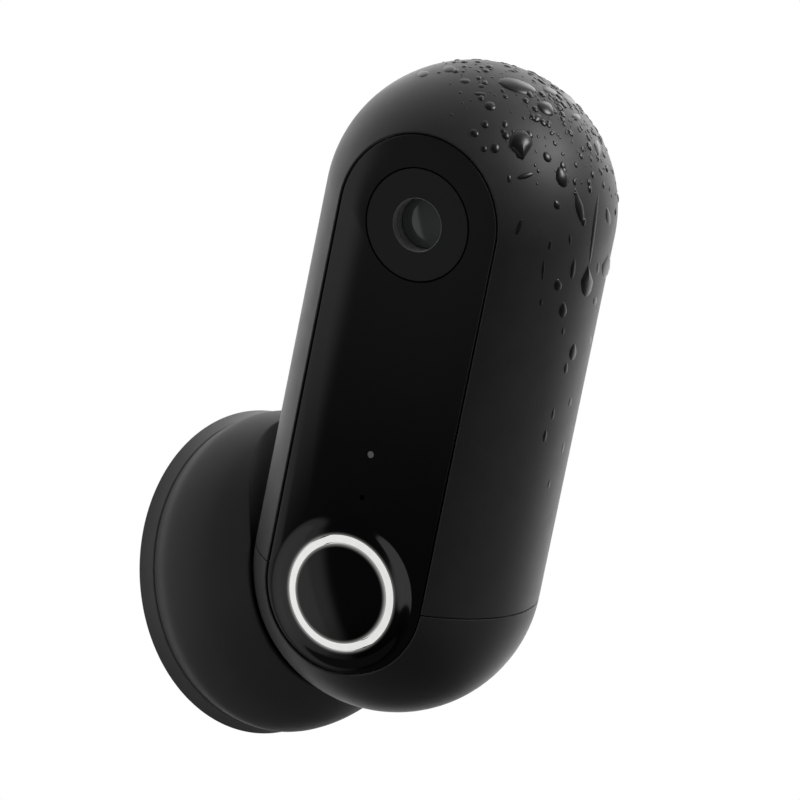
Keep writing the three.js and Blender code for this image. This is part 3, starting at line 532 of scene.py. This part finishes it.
made_of(lens_disc, disc_finish, "camera", "gloss_black", "lens_bezel")

# Front lens. A coated glass dome set low in the opening, in front of the barrel. Its grey-green colour, a
# little darker towards the top, is a painted reflection of the sky.
glass_y = face_y + 2.4
glass_back = glass_y + 1.3
glass_radius = aperture - 0.25
glass_crown = 0.45
glass_curve = (glass_radius ** 2 + glass_crown ** 2) / (2 * glass_crown)
glass_steps = 12
glass_radii = [glass_radius * k / glass_steps for k in range(glass_steps + 1)]
glass_profile = [(r, glass_y + glass_curve - sqrt(glass_curve ** 2 - r ** 2)) for r in glass_radii]
glass_profile += [(glass_radius, glass_back), (0, glass_back)]
front_glass = piece_of("front_glass", turned_y(glass_profile, z=lens_z), body_frame)
glass_finish = finish_of("coated_lens_glass", (0.07, 0.08, 0.076), 0.08, 0.6)
glass_place = glass_finish.position(body_frame)
# Painted reflection: the grey-green base colour, a little darker towards the top, stands for the mirrored
# sky.
glass_painted_reflection = glass_finish.smooth(glass_finish.axis(glass_place, "Z"), (lens_z - 5) * mm, (lens_z + 5) * mm)
feed(glass_finish,
     Base_Color=glass_finish.mix(glass_painted_reflection, (0.13, 0.14, 0.137, 1), (0.115, 0.14, 0.13, 1)),
     Roughness=0.05 + 0.06 * glass_finish.noise(glass_place, 400, 3),
     Coat_Weight=0.4)
made_of(front_glass, glass_finish, "camera", "lens_glass", "front_lens")

# Light ring. A frosted clear ring, flush with the dome and lit white from behind by small lamps. It stands
# in the pane's round hole.
ring_rows = 6
ring_depth = 0.65
ring_back = face_y + plate_thickness + plate_gap + ring_depth
ring_radii = [ring_inner + (ring_outer - ring_inner) * k / ring_rows for k in range(ring_rows + 1)]
ring_profile = [(radius, dome_y(radius)) for radius in ring_radii]
ring_profile += [(ring_outer, ring_back), (ring_inner, ring_back), ring_profile[0]]
lit_ring = piece_of("lit_ring", turned_y(ring_profile, z=push_z), body_frame, crease=40)
ring_finish = finish_of("frosted_lit_ring", (0.5, 0.5, 0.49), 0.4)
ring_place = ring_finish.position(body_frame)
ring_frost = ring_finish.noise(ring_place, 900, 3)
feed(ring_finish,
     Base_Color=ring_finish.mix(ring_frost, (0.46, 0.46, 0.455, 1), (0.54, 0.54, 0.53, 1)),
     Roughness=0.35 + 0.15 * ring_frost,
     Emission_Color=ring_finish.mix(ring_frost, (0.86, 0.86, 0.84, 1), (1, 1, 0.985, 1)),
     Emission_Strength=0.72)
made_of(lit_ring, ring_finish, "camera", "ring_light", "light_ring")

# Bell push. The dome's crown as a separate glossy black button inside the lit ring, moulded in one with the
# stem that presses the switch.
push_radius = ring_inner - ring_gap
push_thickness = 1.3
push_rows = 14
stem_radius = 1.8
stem_end = -12.9
push_radii = [push_radius * k / push_rows for k in range(push_rows + 1)]
push_profile = [(radius, dome_y(radius)) for radius in push_radii]
push_under = push_profile[-1][1] + push_thickness
push_profile += [(push_radius, push_under), (stem_radius, push_under), (stem_radius, stem_end), (0, stem_end)]
push = piece_of("bell_push", turned_y(push_profile, z=push_z), body_frame)
push_finish = finish_of("gloss_black_push", (0.0006, 0.0006, 0.0006), 0.08, 0.45)
push_place = push_finish.position(body_frame)
push_reach = push_finish.reach(push_place, (1, 0, 1), push_z)
push_glow = push_finish.smooth(push_reach, (push_radius - 0.8) * mm, (push_radius + 0.1) * mm) ** 2
feed(push_finish,
     Roughness=0.06 + 0.04 * push_finish.noise(push_place, 120, 3),
     Emission_Color=push_finish.mix(push_glow * 0.25, (0, 0, 0, 1), (1, 1, 0.98, 1)),
     Emission_Strength=1)
made_of(push, push_finish, "push", "gloss_black", "push_cap")

# Wall plate. A flat moulded disc screwed to the wall, a little wider than the cup, with two countersunk screw
# holes, three hooks that the cup turns onto and a tab that the lock screw presses on.
ball_distance = shell_radius + 10.4
wall_plate_thickness = 2.6
cup_base_radius = 26.5
wall_plate_front = cup_base_radius + 0.1
wall_plate_radius = wall_plate_front + 1
wall_round = 0.35
wall_screw_x = 17
wall_screw_radius = 2.1
wall_screw_head = 4
hook_radius = 19
hook_thickness = 1.6
hook_width = 5
hook_front = wall_plate_thickness + 3.4
hook_lip = 1.8
hook_lip_thickness = 1.2
cup_wall = 2.2
tab_outer = cup_base_radius - 2 * cup_wall
tab_thickness = 1.4
tab_height = 4.4
wall_frame = Matrix.Identity(4)


def cut(piece, tools, operation="DIFFERENCE"):
    """Takes closed bmeshes in millimetres out of a piece, or adds them to it."""
    for number, bm in enumerate(tools):
        tool = piece_of(f"{piece.name}_tool_{number}", bm, wall_frame)
        change = piece.modifiers.new("change", "BOOLEAN")
        change.operation = operation
        change.object = tool
        change.solver = "EXACT"
        settle(piece)
        bpy.data.objects.remove(tool)
    piece.data.set_sharp_from_angle(angle=radians(30))


def at_angle(degree, inner, outer, near, far):
    """A block between two radii and two depths from the wall, turned about the mount's axis."""
    bm = bmesh.new()
    turned = Matrix.Rotation(radians(-degree), 4, "Y")
    middle = Matrix.Translation(((inner + outer) / 2, -(near + far) / 2, 0))
    size = Matrix.Diagonal((outer - inner, far - near, hook_width, 1))
    bmesh.ops.create_cube(bm, matrix=turned @ middle @ size)
    return bm


wall_foot = 0.2
rim = [(wall_plate_front - wall_round * (1 - cos(a)), -wall_plate_thickness + wall_round * (1 - sin(a)))
       for a in (pi / 2 * k / 5 for k in range(6))]
plate_profile = [(0, 0), (wall_plate_radius - wall_foot, 0), (wall_plate_radius, -wall_foot), *rim,
                 (0, -wall_plate_thickness)]
wall_plate = piece_of("wall_plate_disc", turned_y(plate_profile, 192), wall_frame)
plate_core = wall_plate_thickness / 2
hook_inner = hook_radius - hook_thickness / 2
hook_outer = hook_radius + hook_thickness / 2
hook_tip = hook_front + hook_lip_thickness
hook_blocks = []
for hook_angle in (90, 210, 330):
    hook_blocks.append(at_angle(hook_angle, hook_inner, hook_outer, plate_core, hook_front))
    hook_blocks.append(at_angle(hook_angle, hook_inner, hook_outer + hook_lip, hook_front, hook_tip))
tab_tip = wall_plate_thickness + tab_height
hook_blocks.append(at_angle(-90, tab_outer - tab_thickness, tab_outer, plate_core, tab_tip))
cut(wall_plate, hook_blocks, "UNION")
sink_start = 1
sink_end = -wall_plate_thickness - 0.2
sink_profile = [(0, sink_start), (wall_screw_radius, sink_start), (wall_screw_radius, -plate_core),
                (wall_screw_head, -wall_plate_thickness), (wall_screw_head, sink_end), (0, sink_end)]
cut(wall_plate, [turned_y(sink_profile, 48, x=screw_x) for screw_x in (-wall_screw_x, wall_screw_x)])
# Painted light: the plate is painted much paler than the cup's plastic, so that its rim shows as a lighter
# band behind the cup.
plate_finish = finish_of("plate_plastic_painted_light", (0.1, 0.1, 0.1), 0.5, 0.4)
plate_place = plate_finish.position()
clouded(plate_finish, plate_place, 200, 3, (0.16, 0.16, 0.16), (0.19, 0.19, 0.19), 0.42, 0.14)
bump(plate_finish, plate_finish.noise(plate_place, 2600, 2), 0.02, 0.6)
made_of(wall_plate, plate_finish, "mount", "mount_plastic", "wall_plate")

# Mount cup. A moulded cup whose front is hollowed out to seat the body: a sphere's seat with a trough above
# it that leans forward by four degrees, and a shallow round pocket for the friction liner. It turns onto the
# wall plate's hooks.
cup_back = wall_plate_thickness + 0.25
cup_rim_depth = 20.8
cup_land = 0.5
rim_round = 0.7
seat_radius = shell_radius + 0.35
seat_lean = radians(4)
rim_radius = sqrt(seat_radius ** 2 - (ball_distance - cup_rim_depth) ** 2) + cup_land
cup_points = [Vector(point) for point in ((cup_base_radius, cup_back), (cup_base_radius + 0.85, 7),
                                          (cup_base_radius - 1.1, 14), (rim_radius, cup_rim_depth))]
pocket_radius = seat_radius + 0.55
pocket_edge = pocket_radius * sin(radians(50))
magnet_pocket = 10.8
magnet_pocket_wall = 1.8
magnet_pocket_depth = 7.85
outline_length = 26
halvings = 24
outer_steps = 20
rim_steps = 8
flank_steps = 6
pocket_steps = 14
back_steps = 8
side_steps = 6
cup_turns = 240


def cup_outline(share, inset=0.0):
    """Radius and depth along the cup's outside, a smooth curve through its four chosen points."""
    place = share * (len(cup_points) - 1)
    k = min(int(place), len(cup_points) - 2)
    t = place - k
    before, start, end, after = (cup_points[min(max(k + i, 0), len(cup_points) - 1)] for i in (-1, 0, 1, 2))
    leave, arrive = (end - before) / 2, (after - start) / 2
    point = ((2 * start - 2 * end + leave + arrive) * t ** 3
             + (3 * end - 3 * start - 2 * leave - arrive) * t ** 2 + leave * t + start)
    return point - Vector((inset, 0))


def seat_depth(x, z, radius, pocket):
    """The seat's depth from the wall: ball or leaning trough, or the pocket where it is deeper."""
    out = sqrt(max(radius ** 2 - x ** 2 - z ** 2, 0))
    if z * cos(seat_lean) > out * sin(seat_lean):
        out = (sqrt(max(radius ** 2 - x ** 2, 0)) - z * sin(seat_lean)) / cos(seat_lean)
    if pocket and x ** 2 + z ** 2 <= pocket_edge ** 2 + weld:
        out = max(out, sqrt(pocket ** 2 - x ** 2 - z ** 2))
    return ball_distance - out


def cup_column(angle):
    """One closed section of the cup, from the rim of its back round its outside and seat to the axis."""
    run, rise = cos(angle), sin(angle)

    def seat(r, radius=seat_radius, pocket=pocket_radius):
        return Vector((r, seat_depth(r * run, r * rise, radius, pocket)))

    def meeting(inset, radius):
        """Share along the outline where it runs into the seat."""
        low, high = 0.0, 1.0
        edge = cup_outline(1, inset)
        if edge.y <= seat(edge.x, radius, 0).y:
            return 1.0
        for _ in range(halvings):
            middle = (low + high) / 2
            point = cup_outline(middle, inset)
            low, high = (middle, high) if point.y < seat(point.x, radius, 0).y else (low, middle)
        return low

    end_share = meeting(0, seat_radius)
    corner = cup_outline(end_share)
    inner = corner.x
    if end_share == 1:
        low, high = 0.0, corner.x
        for _ in range(halvings):
            inner = (low + high) / 2
            low, high = (inner, high) if seat(inner, seat_radius, 0).y < cup_rim_depth else (low, inner)
    land = Vector((inner, min(seat(inner, seat_radius, 0).y, cup_rim_depth)))
    before_rim = end_share * (1 - rim_round / outline_length)
    rows = [cup_outline(before_rim * k / outer_steps) for k in range(outer_steps + 1)]
    near, far = rows[-1], seat(inner - rim_round)
    for k in range(1, rim_steps):
        t = k / rim_steps
        s = 1 - t
        rows.append(near * s ** 3 + 3 * corner * t * s ** 2 + 3 * land * t ** 2 * s + far * t ** 3)
    rows += [seat(far.x + (pocket_edge + 0.01 - far.x) * k / flank_steps, pocket=0)
             for k in range(flank_steps + 1)]
    rows += [seat(pocket_edge * (1 - k / pocket_steps)) for k in range(pocket_steps + 1)]
    start = magnet_pocket + magnet_pocket_wall
    back_share = meeting(cup_wall, seat_radius + cup_wall)
    stop = cup_outline(back_share, cup_wall).x
    back = [Vector((0, magnet_pocket_depth)), Vector((magnet_pocket, magnet_pocket_depth)),
            Vector((magnet_pocket, cup_back)), Vector((start, cup_back))]
    back += [seat(start + (stop - start) * k / back_steps, seat_radius + cup_wall, pocket_radius + cup_wall)
             for k in range(back_steps + 1)]
    back += [cup_outline(back_share * (1 - k / side_steps), cup_wall) for k in range(1, side_steps + 1)]
    return [(r * run, -depth, r * rise) for r, depth in rows + back + rows[:1]]


cup_bm = bmesh.new()
columns = [cup_column(2 * pi * i / cup_turns) for i in range(cup_turns)]
loft(cup_bm, list(zip(*columns)))
cup = piece_of("mount_cup_shell", cup_bm, wall_frame, crease=40)
lock_depth = 5
lock_radius = 1.4
bore_radius = lock_radius + 0.25
bore_length = 7
bore_middle = (0, -lock_depth, -cup_base_radius + 0.9)
lock_bore = bmesh.new()
bmesh.ops.create_cone(lock_bore, cap_ends=True, segments=48, radius1=bore_radius, radius2=bore_radius,
                      depth=bore_length, matrix=Matrix.Translation(bore_middle))
cut(cup, [lock_bore])
wall_finish = finish_of("matt_mount_plastic", (0.03, 0.03, 0.0305), 0.55, 0.35)
wall_place = wall_finish.position()
clouded(wall_finish, wall_place, 180, 3, (0.075, 0.075, 0.0755), (0.09, 0.09, 0.0905), 0.5, 0.14)
bump(wall_finish, wall_finish.noise(wall_place, 2600, 2), 0.02, 0.6)
made_of(cup, wall_finish, "mount", "mount_plastic", "mount_cup")

# Lock screw. A small zinc-plated steel grub screw with a hexagon socket, turned in through the bottom of the
# cup until it presses on the wall plate's tab.
lock_low = -cup_base_radius - 0.25
lock_high = -tab_outer - 0.25
lock_chamfer = 0.25
lock_edge = 0.15
socket_half = 0.65
socket_depth = 1.2
socket_point = 0.2
lock_steps = 36


def lock_row(height, radius=None):
    """A ring of the screw at one height, round, or six-sided where no radius is given."""
    row = []
    for i in range(lock_steps):
        turn = 2 * pi * i / lock_steps
        side = (turn + pi / 6) % (pi / 3) - pi / 6
        reach = socket_half / cos(side) if radius is None else radius
        row.append((reach * cos(turn), reach * sin(turn) - lock_depth, height))
    return row


lock_bm = bmesh.new()
loft(lock_bm, [lock_row(lock_high, 0), lock_row(lock_high, lock_radius - lock_chamfer),
               lock_row(lock_high - lock_chamfer, lock_radius), lock_row(lock_low + lock_edge, lock_radius),
               lock_row(lock_low, lock_radius - lock_edge), lock_row(lock_low),
               lock_row(lock_low + socket_depth), lock_row(lock_low + socket_depth + socket_point, 0)])
lock = piece_of("lock_grub_screw", lock_bm, wall_frame)
zinc_finish = finish_of("zinc_plated_steel", (0.45, 0.46, 0.47), 0.35)
zinc_place = zinc_finish.position()
clouded(zinc_finish, zinc_place, 700, 4, (0.38, 0.39, 0.4), (0.52, 0.52, 0.51), 0.28, 0.2)
bump(zinc_finish, zinc_finish.noise(zinc_place, 3000, 2), 0.01, 0.5)
feed(zinc_finish, Metallic=1)
made_of(lock, zinc_finish, "mount", "zinc_steel", "lock_screw")

# Return spring. A coil wound from round steel wire, held between the push and its carrier. It is drawn at
# its rest length; how far it would shorten as the push goes in is worked out but not used.
spring_radius = 3.45
spring_turns = 4
spring_steps = 32
spring_wire = 0.25
wire_sides = 10
spring_front = push_under + spring_wire + 0.25
spring_back = -14.6
spring_span = spring_back - spring_front
push_travel = 0.7
wire_angles = [2 * pi * k / wire_sides for k in range(wire_sides)]
spring_rows = []
for i in range(spring_turns * spring_steps + 1):
    turn = 2 * pi * i / spring_steps
    out = Vector((cos(turn), 0, sin(turn)))
    along = Vector((-sin(turn) * spring_radius, spring_span / (2 * pi * spring_turns),
                    cos(turn) * spring_radius)).normalized()
    across = along.cross(out)
    middle = Vector((0, spring_front + spring_span * i / (spring_turns * spring_steps), push_z))
    middle += out * spring_radius
    spring_rows.append([middle + (out * cos(a) + across * sin(a)) * spring_wire for a in wire_angles])
spring_bm = bmesh.new()
spring_rings = loft(spring_bm, spring_rows)
for ring in (spring_rings[0], spring_rings[-1]):
    spring_bm.faces.new(ring)
spring = piece_of("return_spring", spring_bm, body_frame)
spring_finish = finish_of("spring_steel", (0.4, 0.4, 0.4), 0.3)
clouded(spring_finish, spring_finish.position(), 900, 4, (0.32, 0.32, 0.33), (0.5, 0.5, 0.5), 0.22, 0.2)
feed(spring_finish, Metallic=1)
made_of(spring, spring_finish, "camera", "zinc_steel", "push_spring")
spring_long = spring_span + 2 * spring_wire
(spring_long - push_travel) / spring_long
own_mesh(spring)

# Inside parts. Everything behind the front and in the mount keeps its CAD shape and gets its own material:
# moulded black plastic, rubber, plated steel, nickel, green boards with copper tracks, chips, wrapped cells
# and glass. Small screws hold the chassis and the boards.
def dressed(shader, *names):
    """Gives CAD nodes a finish. They keep their own bodies and slots."""
    for name in names:
        node = nodes[name]
        node.data.materials.clear()
        node.data.materials.append(shader.material)


def grained(name, dark, light, roughness, scale, depth, metallic=0.0):
    """A plain finish with two shades in soft clouds, uneven gloss and a fine grain."""
    shader = finish_of(name, dark, roughness)
    place = shader.position()
    clouded(shader, place, scale, 3, dark, light, roughness, 0.15)
    bump(shader, shader.noise(place, scale * 9, 2), depth, 0.6)
    feed(shader, Metallic=metallic)
    return shader


def numbered(name, count):
    return [f"{name}_{i + 1}" for i in range(count)]


rubber = grained("black_rubber", (0.008, 0.008, 0.008), (0.014, 0.014, 0.014), 0.7, 400, 0.02)
moulded = grained("inner_moulding", (0.03, 0.032, 0.034), (0.042, 0.044, 0.047), 0.5, 240, 0.02)
# The lens barrel's pale grey is partly its own colour and partly a painted highlight for the lit wall inside
# the lens opening.
barrel = grained("satin_barrel_painted_light", (0.5, 0.485, 0.49), (0.6, 0.58, 0.59), 0.45, 300, 0.006)
chip = grained("chip_epoxy", (0.008, 0.008, 0.009), (0.013, 0.013, 0.014), 0.35, 500, 0.01)
nickel = grained("nickel_plate", (0.43, 0.42, 0.38), (0.56, 0.54, 0.5), 0.2, 500, 0.006, 1.0)
window = grained("grey_diffuser", (0.3, 0.3, 0.29), (0.36, 0.36, 0.35), 0.3, 600, 0.006)
dressed(rubber, "cap_seal", "plate_gasket", "swivel_liner")
dressed(barrel, "lens_barrel")
dressed(moulded, "lens_holder", "ring_carrier", "chassis")
dressed(chip, "image_sensor", "light_sensor", "tact_switch", "reset_button")
dressed(nickel, "microphone", "antenna", "lower_contact", "upper_contact", "usb_socket", "magnet")
dressed(window, "sensor_window", "reset_plunger", *numbered("ir_led", 4), *numbered("ring_led", 6))
dressed(zinc_finish, "magnet_yoke", "steel_armature", *numbered("chassis_screw", 4),
        *numbered("board_screw", 2))

coated = grained("coated_inner_glass", (0.01, 0.013, 0.016), (0.014, 0.018, 0.024), 0.03, 300, 0.002)
feed(coated, Coat_Weight=0.6)
dressed(coated, "rear_lens")

board = finish_of("green_board", (0.012, 0.07, 0.03), 0.4)
board_place = board.position(body_frame)
board_flat = board.node("ShaderNodeMapping", inputs={"Vector": board_place, "Rotation": (pi / 2, 0, 0)})
board_grid = board.node("ShaderNodeTexBrick", {"offset": 0.5}, {
    "Vector": board_flat, "Scale": 420, "Mortar Size": 0.06, "Brick Width": 0.9, "Row Height": 0.35}, 1)
board_cloud = board.noise(board_place, 300, 3)
board_mask = board.mix(board_cloud, (0.006, 0.045, 0.02, 1), (0.01, 0.065, 0.03, 1))
feed(board, Base_Color=board.mix(board_grid * 0.5, board_mask, (0.03, 0.12, 0.05, 1)),
     Roughness=0.32 + 0.12 * board_cloud)
bump(board, board_grid, 0.02, 0.7)
dressed(board, "sensor_board", "ir_board", "ring_board", "front_board", "main_board")

wrap = finish_of("shrink_wrapped_cell", (0.045, 0.1, 0.19), 0.3)
wrap_place = wrap.position(body_frame)
wrap_height = wrap.axis(wrap_place, "Z")
wrap_foot = 1 - wrap.smooth(wrap_height, 5.2 * mm, 6.2 * mm)
wrap_end = wrap.smooth(wrap_height, 68 * mm, 69.5 * mm) + wrap_foot
wrap_crease = wrap.noise(wrap_place, 350, 4)
wrap_film = wrap.mix(wrap_crease, (0.038, 0.09, 0.17, 1), (0.05, 0.11, 0.21, 1))
feed(wrap, Base_Color=wrap.mix(wrap_end, wrap_film, (0.4, 0.39, 0.37, 1)), Metallic=wrap_end * 0.9,
     Roughness=0.25 + 0.15 * wrap_crease)
bump(wrap, wrap_crease, 0.03, 0.5)
dressed(wrap, *numbered("battery_cell", 2))

cone = finish_of("speaker_frame", (0.02, 0.02, 0.021), 0.45)
cone_place = cone.position(body_frame)
cone_reach = cone.reach(cone_place, (1, 1, 0))
cone_waves = cone.node("ShaderNodeMath", {"operation": "SINE"}, {0: cone_reach * 4200})
clouded(cone, cone_place, 500, 3, (0.016, 0.016, 0.017), (0.03, 0.03, 0.031), 0.4, 0.2)
bump(cone, cone_waves, 0.08, 0.6)
dressed(cone, "speaker")

# Rain. Still drops and runs of water stand on the shell's weather side: large ones where the photograph shows
# them, cast from the camera onto the pill, and a fine spray between them. They ride on the body.
Drop = namedtuple("Drop", "across down wide high lean point", defaults=(0, 0))
drops_seen = (
    Drop(across=517, down=86, wide=39, high=13, lean=-16),
    Drop(across=546, down=108, wide=21, high=12, lean=-38, point=0.3),
    Drop(across=537, down=118, wide=10, high=9),
    Drop(across=521, down=145, wide=24, high=31, lean=6, point=-0.8),
    Drop(across=490, down=106, wide=12, high=9, lean=-20),
    Drop(across=505, down=124, wide=6, high=8),
    Drop(across=562, down=177, wide=13, high=22, lean=16, point=0.3),
    Drop(across=547, down=157, wide=8, high=12, lean=30, point=0.3),
    Drop(across=579, down=206, wide=8, high=37, lean=12, point=0.7),
    Drop(across=557, down=205, wide=7, high=10, lean=20, point=0.2),
    Drop(across=587, down=281, wide=12, high=32, lean=-4, point=0.8),
    Drop(across=594, down=228, wide=3.6, high=78, lean=-7),
    Drop(across=607, down=266, wide=10, high=26, lean=-8, point=0.8),
    Drop(across=598, down=151, wide=6, high=22, lean=6, point=-0.5),
    Drop(across=608, down=216, wide=5, high=18, lean=8, point=0.4),
    Drop(across=519, down=227, wide=5, high=18, lean=-20, point=0.3),
    Drop(across=558, down=285, wide=8, high=12, lean=0, point=0.3),
    Drop(across=563, down=310, wide=8, high=16, lean=-5, point=0.4),
    Drop(across=543, down=270, wide=3, high=22, lean=-4, point=0.3),
    Drop(across=573, down=269, wide=5, high=22, lean=-8, point=0.4),
    Drop(across=449, down=69, wide=13, high=7, lean=4),
    Drop(across=423, down=74, wide=12, high=6, lean=14),
    Drop(across=465, down=81, wide=11, high=5, lean=-4),
    Drop(across=550, down=91, wide=16, high=7, lean=-24),
    Drop(across=569, down=98, wide=19, high=7, lean=-42),
    Drop(across=576, down=117, wide=10, high=7, lean=-30),
    Drop(across=474, down=133, wide=10, high=8, lean=-30),
    Drop(across=495, down=148, wide=9, high=11),
    Drop(across=525, down=176, wide=17, high=6, lean=18),
    Drop(across=509, down=179, wide=4, high=8),
    Drop(across=480, down=94, wide=13, high=4, lean=-6),
    Drop(across=482, down=86, wide=8, high=4),
    Drop(across=598, down=268, wide=3, high=14, lean=-4, point=0.3),
    Drop(across=550, down=245, wide=4, high=10, lean=-10, point=0.3),
    Drop(across=570, down=239, wide=3, high=12, lean=0, point=0.3),
    Drop(across=595, down=301, wide=4, high=9, lean=-8, point=0.2),
    Drop(across=552, down=133, wide=5, high=5),
    Drop(across=563, down=154, wide=4, high=4),
    Drop(across=563, down=331, wide=3, high=9, lean=-6, point=0.3),
    Drop(across=590, down=340, wide=3, high=8, lean=-8, point=0.3),
    Drop(across=573, down=352, wide=7, high=18, lean=-10, point=0.4),
    Drop(across=566, down=368, wide=4, high=12, lean=-8, point=0.3),
    Drop(across=590, down=364, wide=3, high=11, lean=-8, point=0.2),
    Drop(across=541, down=302, wide=3, high=9, lean=-8, point=0.3),
    Drop(across=570, down=402, wide=3, high=10, lean=-10, point=0.3),
    Drop(across=553, down=414, wide=3, high=13, lean=-10, point=0.3),
    Drop(across=545, down=436, wide=4, high=13, lean=-10, point=0.3),
    Drop(across=580, down=420, wide=3, high=10, lean=-10, point=0.3),
    Drop(across=563, down=447, wide=2.5, high=14, lean=-10, point=0.3),
    Drop(across=549, down=484, wide=2.5, high=11, lean=-12, point=0.3),
    Drop(across=556, down=519, wide=2.5, high=12, lean=-12, point=0.3),
)
picture_half = 400
picture_focus = camera_data.lens / camera_data.sensor_width * 2 * picture_half
pixel_size = 1 / 5.97
body_to_world = body_frame @ Matrix.Scale(mm, 4)
world_to_body = body_to_world.inverted()
shell_tree = BVHTree.FromPolygons([vertex.co for vertex in housing.data.vertices],
                                  [face.vertices for face in housing.data.polygons])


def on_shell(across, down):
    """The pill's surface point and normal in the body frame, seen at a place in the picture."""
    aim = (camera_right * (across - picture_half) + camera_up * (picture_half - down)
           - camera_back * picture_focus).normalized()
    hit = shell_tree.ray_cast(camera_place, aim)[0]
    if hit is None:
        return None
    local = world_to_body @ hit
    axis_point = Vector((0, 0, min(max(local.z, 0), shell_length)))
    normal = (local - axis_point).normalized()
    return axis_point + normal * shell_radius, normal


drop_turns = 20
drop_rings = 5
drop_rise = 0.42
drop_sink = 0.03
drop_root = 0.15


def water_drop(bm, drop):
    """A drop whose outline is laid on the picture: point above 0 narrows its top, below 0 its foot."""
    turn = radians(drop.lean)
    rise = drop_rise * min(drop.wide, drop.high) / 2 * pixel_size
    centre = on_shell(drop.across, drop.down)
    if centre is None:
        return
    rows = []
    for ring in range(drop_rings + 1):
        share = sin(pi / 2 * ring / drop_rings)
        height = rise * (1 - share ** 2) ** 0.7 - drop_sink
        row = []
        for k in range(drop_turns):
            a = 2 * pi * k / drop_turns
            narrow = 1 - abs(drop.point) * max(sin(a) * (1 if drop.point > 0 else -1), 0)
            x = drop.wide / 2 * cos(a) * share * narrow
            y = drop.high / 2 * sin(a) * share
            side, lift = x * cos(turn) - y * sin(turn), x * sin(turn) + y * cos(turn)
            found = next((hit for t in (1, 0.8, 0.6, 0.4, 0.2)
                          if (hit := on_shell(drop.across + side * t, drop.down - lift * t))), centre)
            row.append(found[0] + found[1] * height)
        rows.append(row)
    rows.append([centre[0] - centre[1] * drop_root] * drop_turns)
    loft(bm, rows)


drops_bm = bmesh.new()
for drop in drops_seen:
    water_drop(drops_bm, drop)
drops = piece_of("rain_drops", drops_bm, body_frame, crease=60)
water = finish_of("water_on_black", (0.011, 0.011, 0.0115), 0.16, 0.55)
water_place = water.position(body_frame)
clouded(water, water_place, 500, 2, (0.008, 0.008, 0.0085), (0.013, 0.013, 0.0135), 0.27, 0.14)
made_of(drops, water, "camera", "gloss_black")

spray_bm = bmesh.new()
spray_tube = [shell_arc(shell_radius, face_y, 0, shell_length * k / 8, False) for k in range(2, 9)]
spray_top = [shell_arc(shell_radius, face_y, shell_radius * sin(pi / 2 * k / 24), shell_length, False)
             for k in range(1, 24)]
loft(spray_bm, spray_tube + spray_top, closed=False)
spray = piece_of("rain_spray", spray_bm, body_frame)
spray_tree = bpy.data.node_groups.new("spray", "GeometryNodeTree")
weather_side = (0.72 * camera_up + 0.62 * camera_right + 0.3 * camera_back).normalized()
spray_inputs = {"Density": 420000.0, "Seed": 7, "Smallest": 0.17 * mm, "Largest": 0.62 * mm,
                "Weather Side": tuple(weather_side), "Material": water.material}
kinds = {float: "NodeSocketFloat", int: "NodeSocketInt", tuple: "NodeSocketVector"}
spray_tree.interface.new_socket("Geometry", in_out="INPUT", socket_type="NodeSocketGeometry")
spray_sockets = {name: spray_tree.interface.new_socket(
    name, in_out="INPUT", socket_type=kinds.get(type(value), "NodeSocketMaterial"))
    for name, value in spray_inputs.items()}
spray_tree.interface.new_socket("Geometry", in_out="OUTPUT", socket_type="NodeSocketGeometry")
flow = Shader(spray_tree)
given = {name: flow.node("NodeGroupInput", output=i)
         for i, name in enumerate(["Geometry", *spray_inputs])}
facing = flow.dot(flow.node("GeometryNodeInputNormal"), given["Weather Side"])
upward = flow.axis(flow.node("GeometryNodeInputPosition"), "Z")
shower = flow.smooth(facing, 0.5, 1.0) * (0.2 + 0.8 * flow.smooth(upward, 0.02, 0.075))
scatter = flow.node("GeometryNodeDistributePointsOnFaces", None,
                    {"Mesh": given["Geometry"], "Density": shower * given["Density"], "Seed": given["Seed"]})
scatter_turn = Value(flow, scatter.socket.node.outputs["Rotation"])
downhill = flow.node("FunctionNodeAlignRotationToVector", {"axis": "Y", "pivot_axis": "Z"},
                     {"Rotation": scatter_turn, "Vector": (0, 0, -1)})
chance = flow.node("FunctionNodeRandomValue", {"data_type": "FLOAT"}, {"Seed": given["Seed"]}, 1)
drop_size = given["Smallest"] + (given["Largest"] - given["Smallest"]) * chance ** 2.4
stretch = flow.node("ShaderNodeVectorMath", {"operation": "SCALE"}, {0: (1, 1.35, 0.4), "Scale": drop_size})
bead = flow.node("GeometryNodeMeshIcoSphere", None, {"Radius": 1.0, "Subdivisions": 2})
beads = flow.node("GeometryNodeInstanceOnPoints", None,
                  {"Points": scatter, "Instance": bead, "Rotation": downhill, "Scale": stretch})
spray_made = flow.node("GeometryNodeSetMaterial", None, {
    "Geometry": flow.node("GeometryNodeSetShadeSmooth", None, {
        "Geometry": flow.node("GeometryNodeRealizeInstances", None, {"Geometry": beads})}),
    "Material": given["Material"]})
flow.node("NodeGroupOutput", None, {"Geometry": spray_made})
shower_change = spray.modifiers.new("spray", "NODES")
shower_change.node_group = spray_tree
for name, socket in spray_sockets.items():
    shower_change[socket.identifier] = spray_inputs[name]
settle(spray)
made_of(spray, water, "camera", "gloss_black")
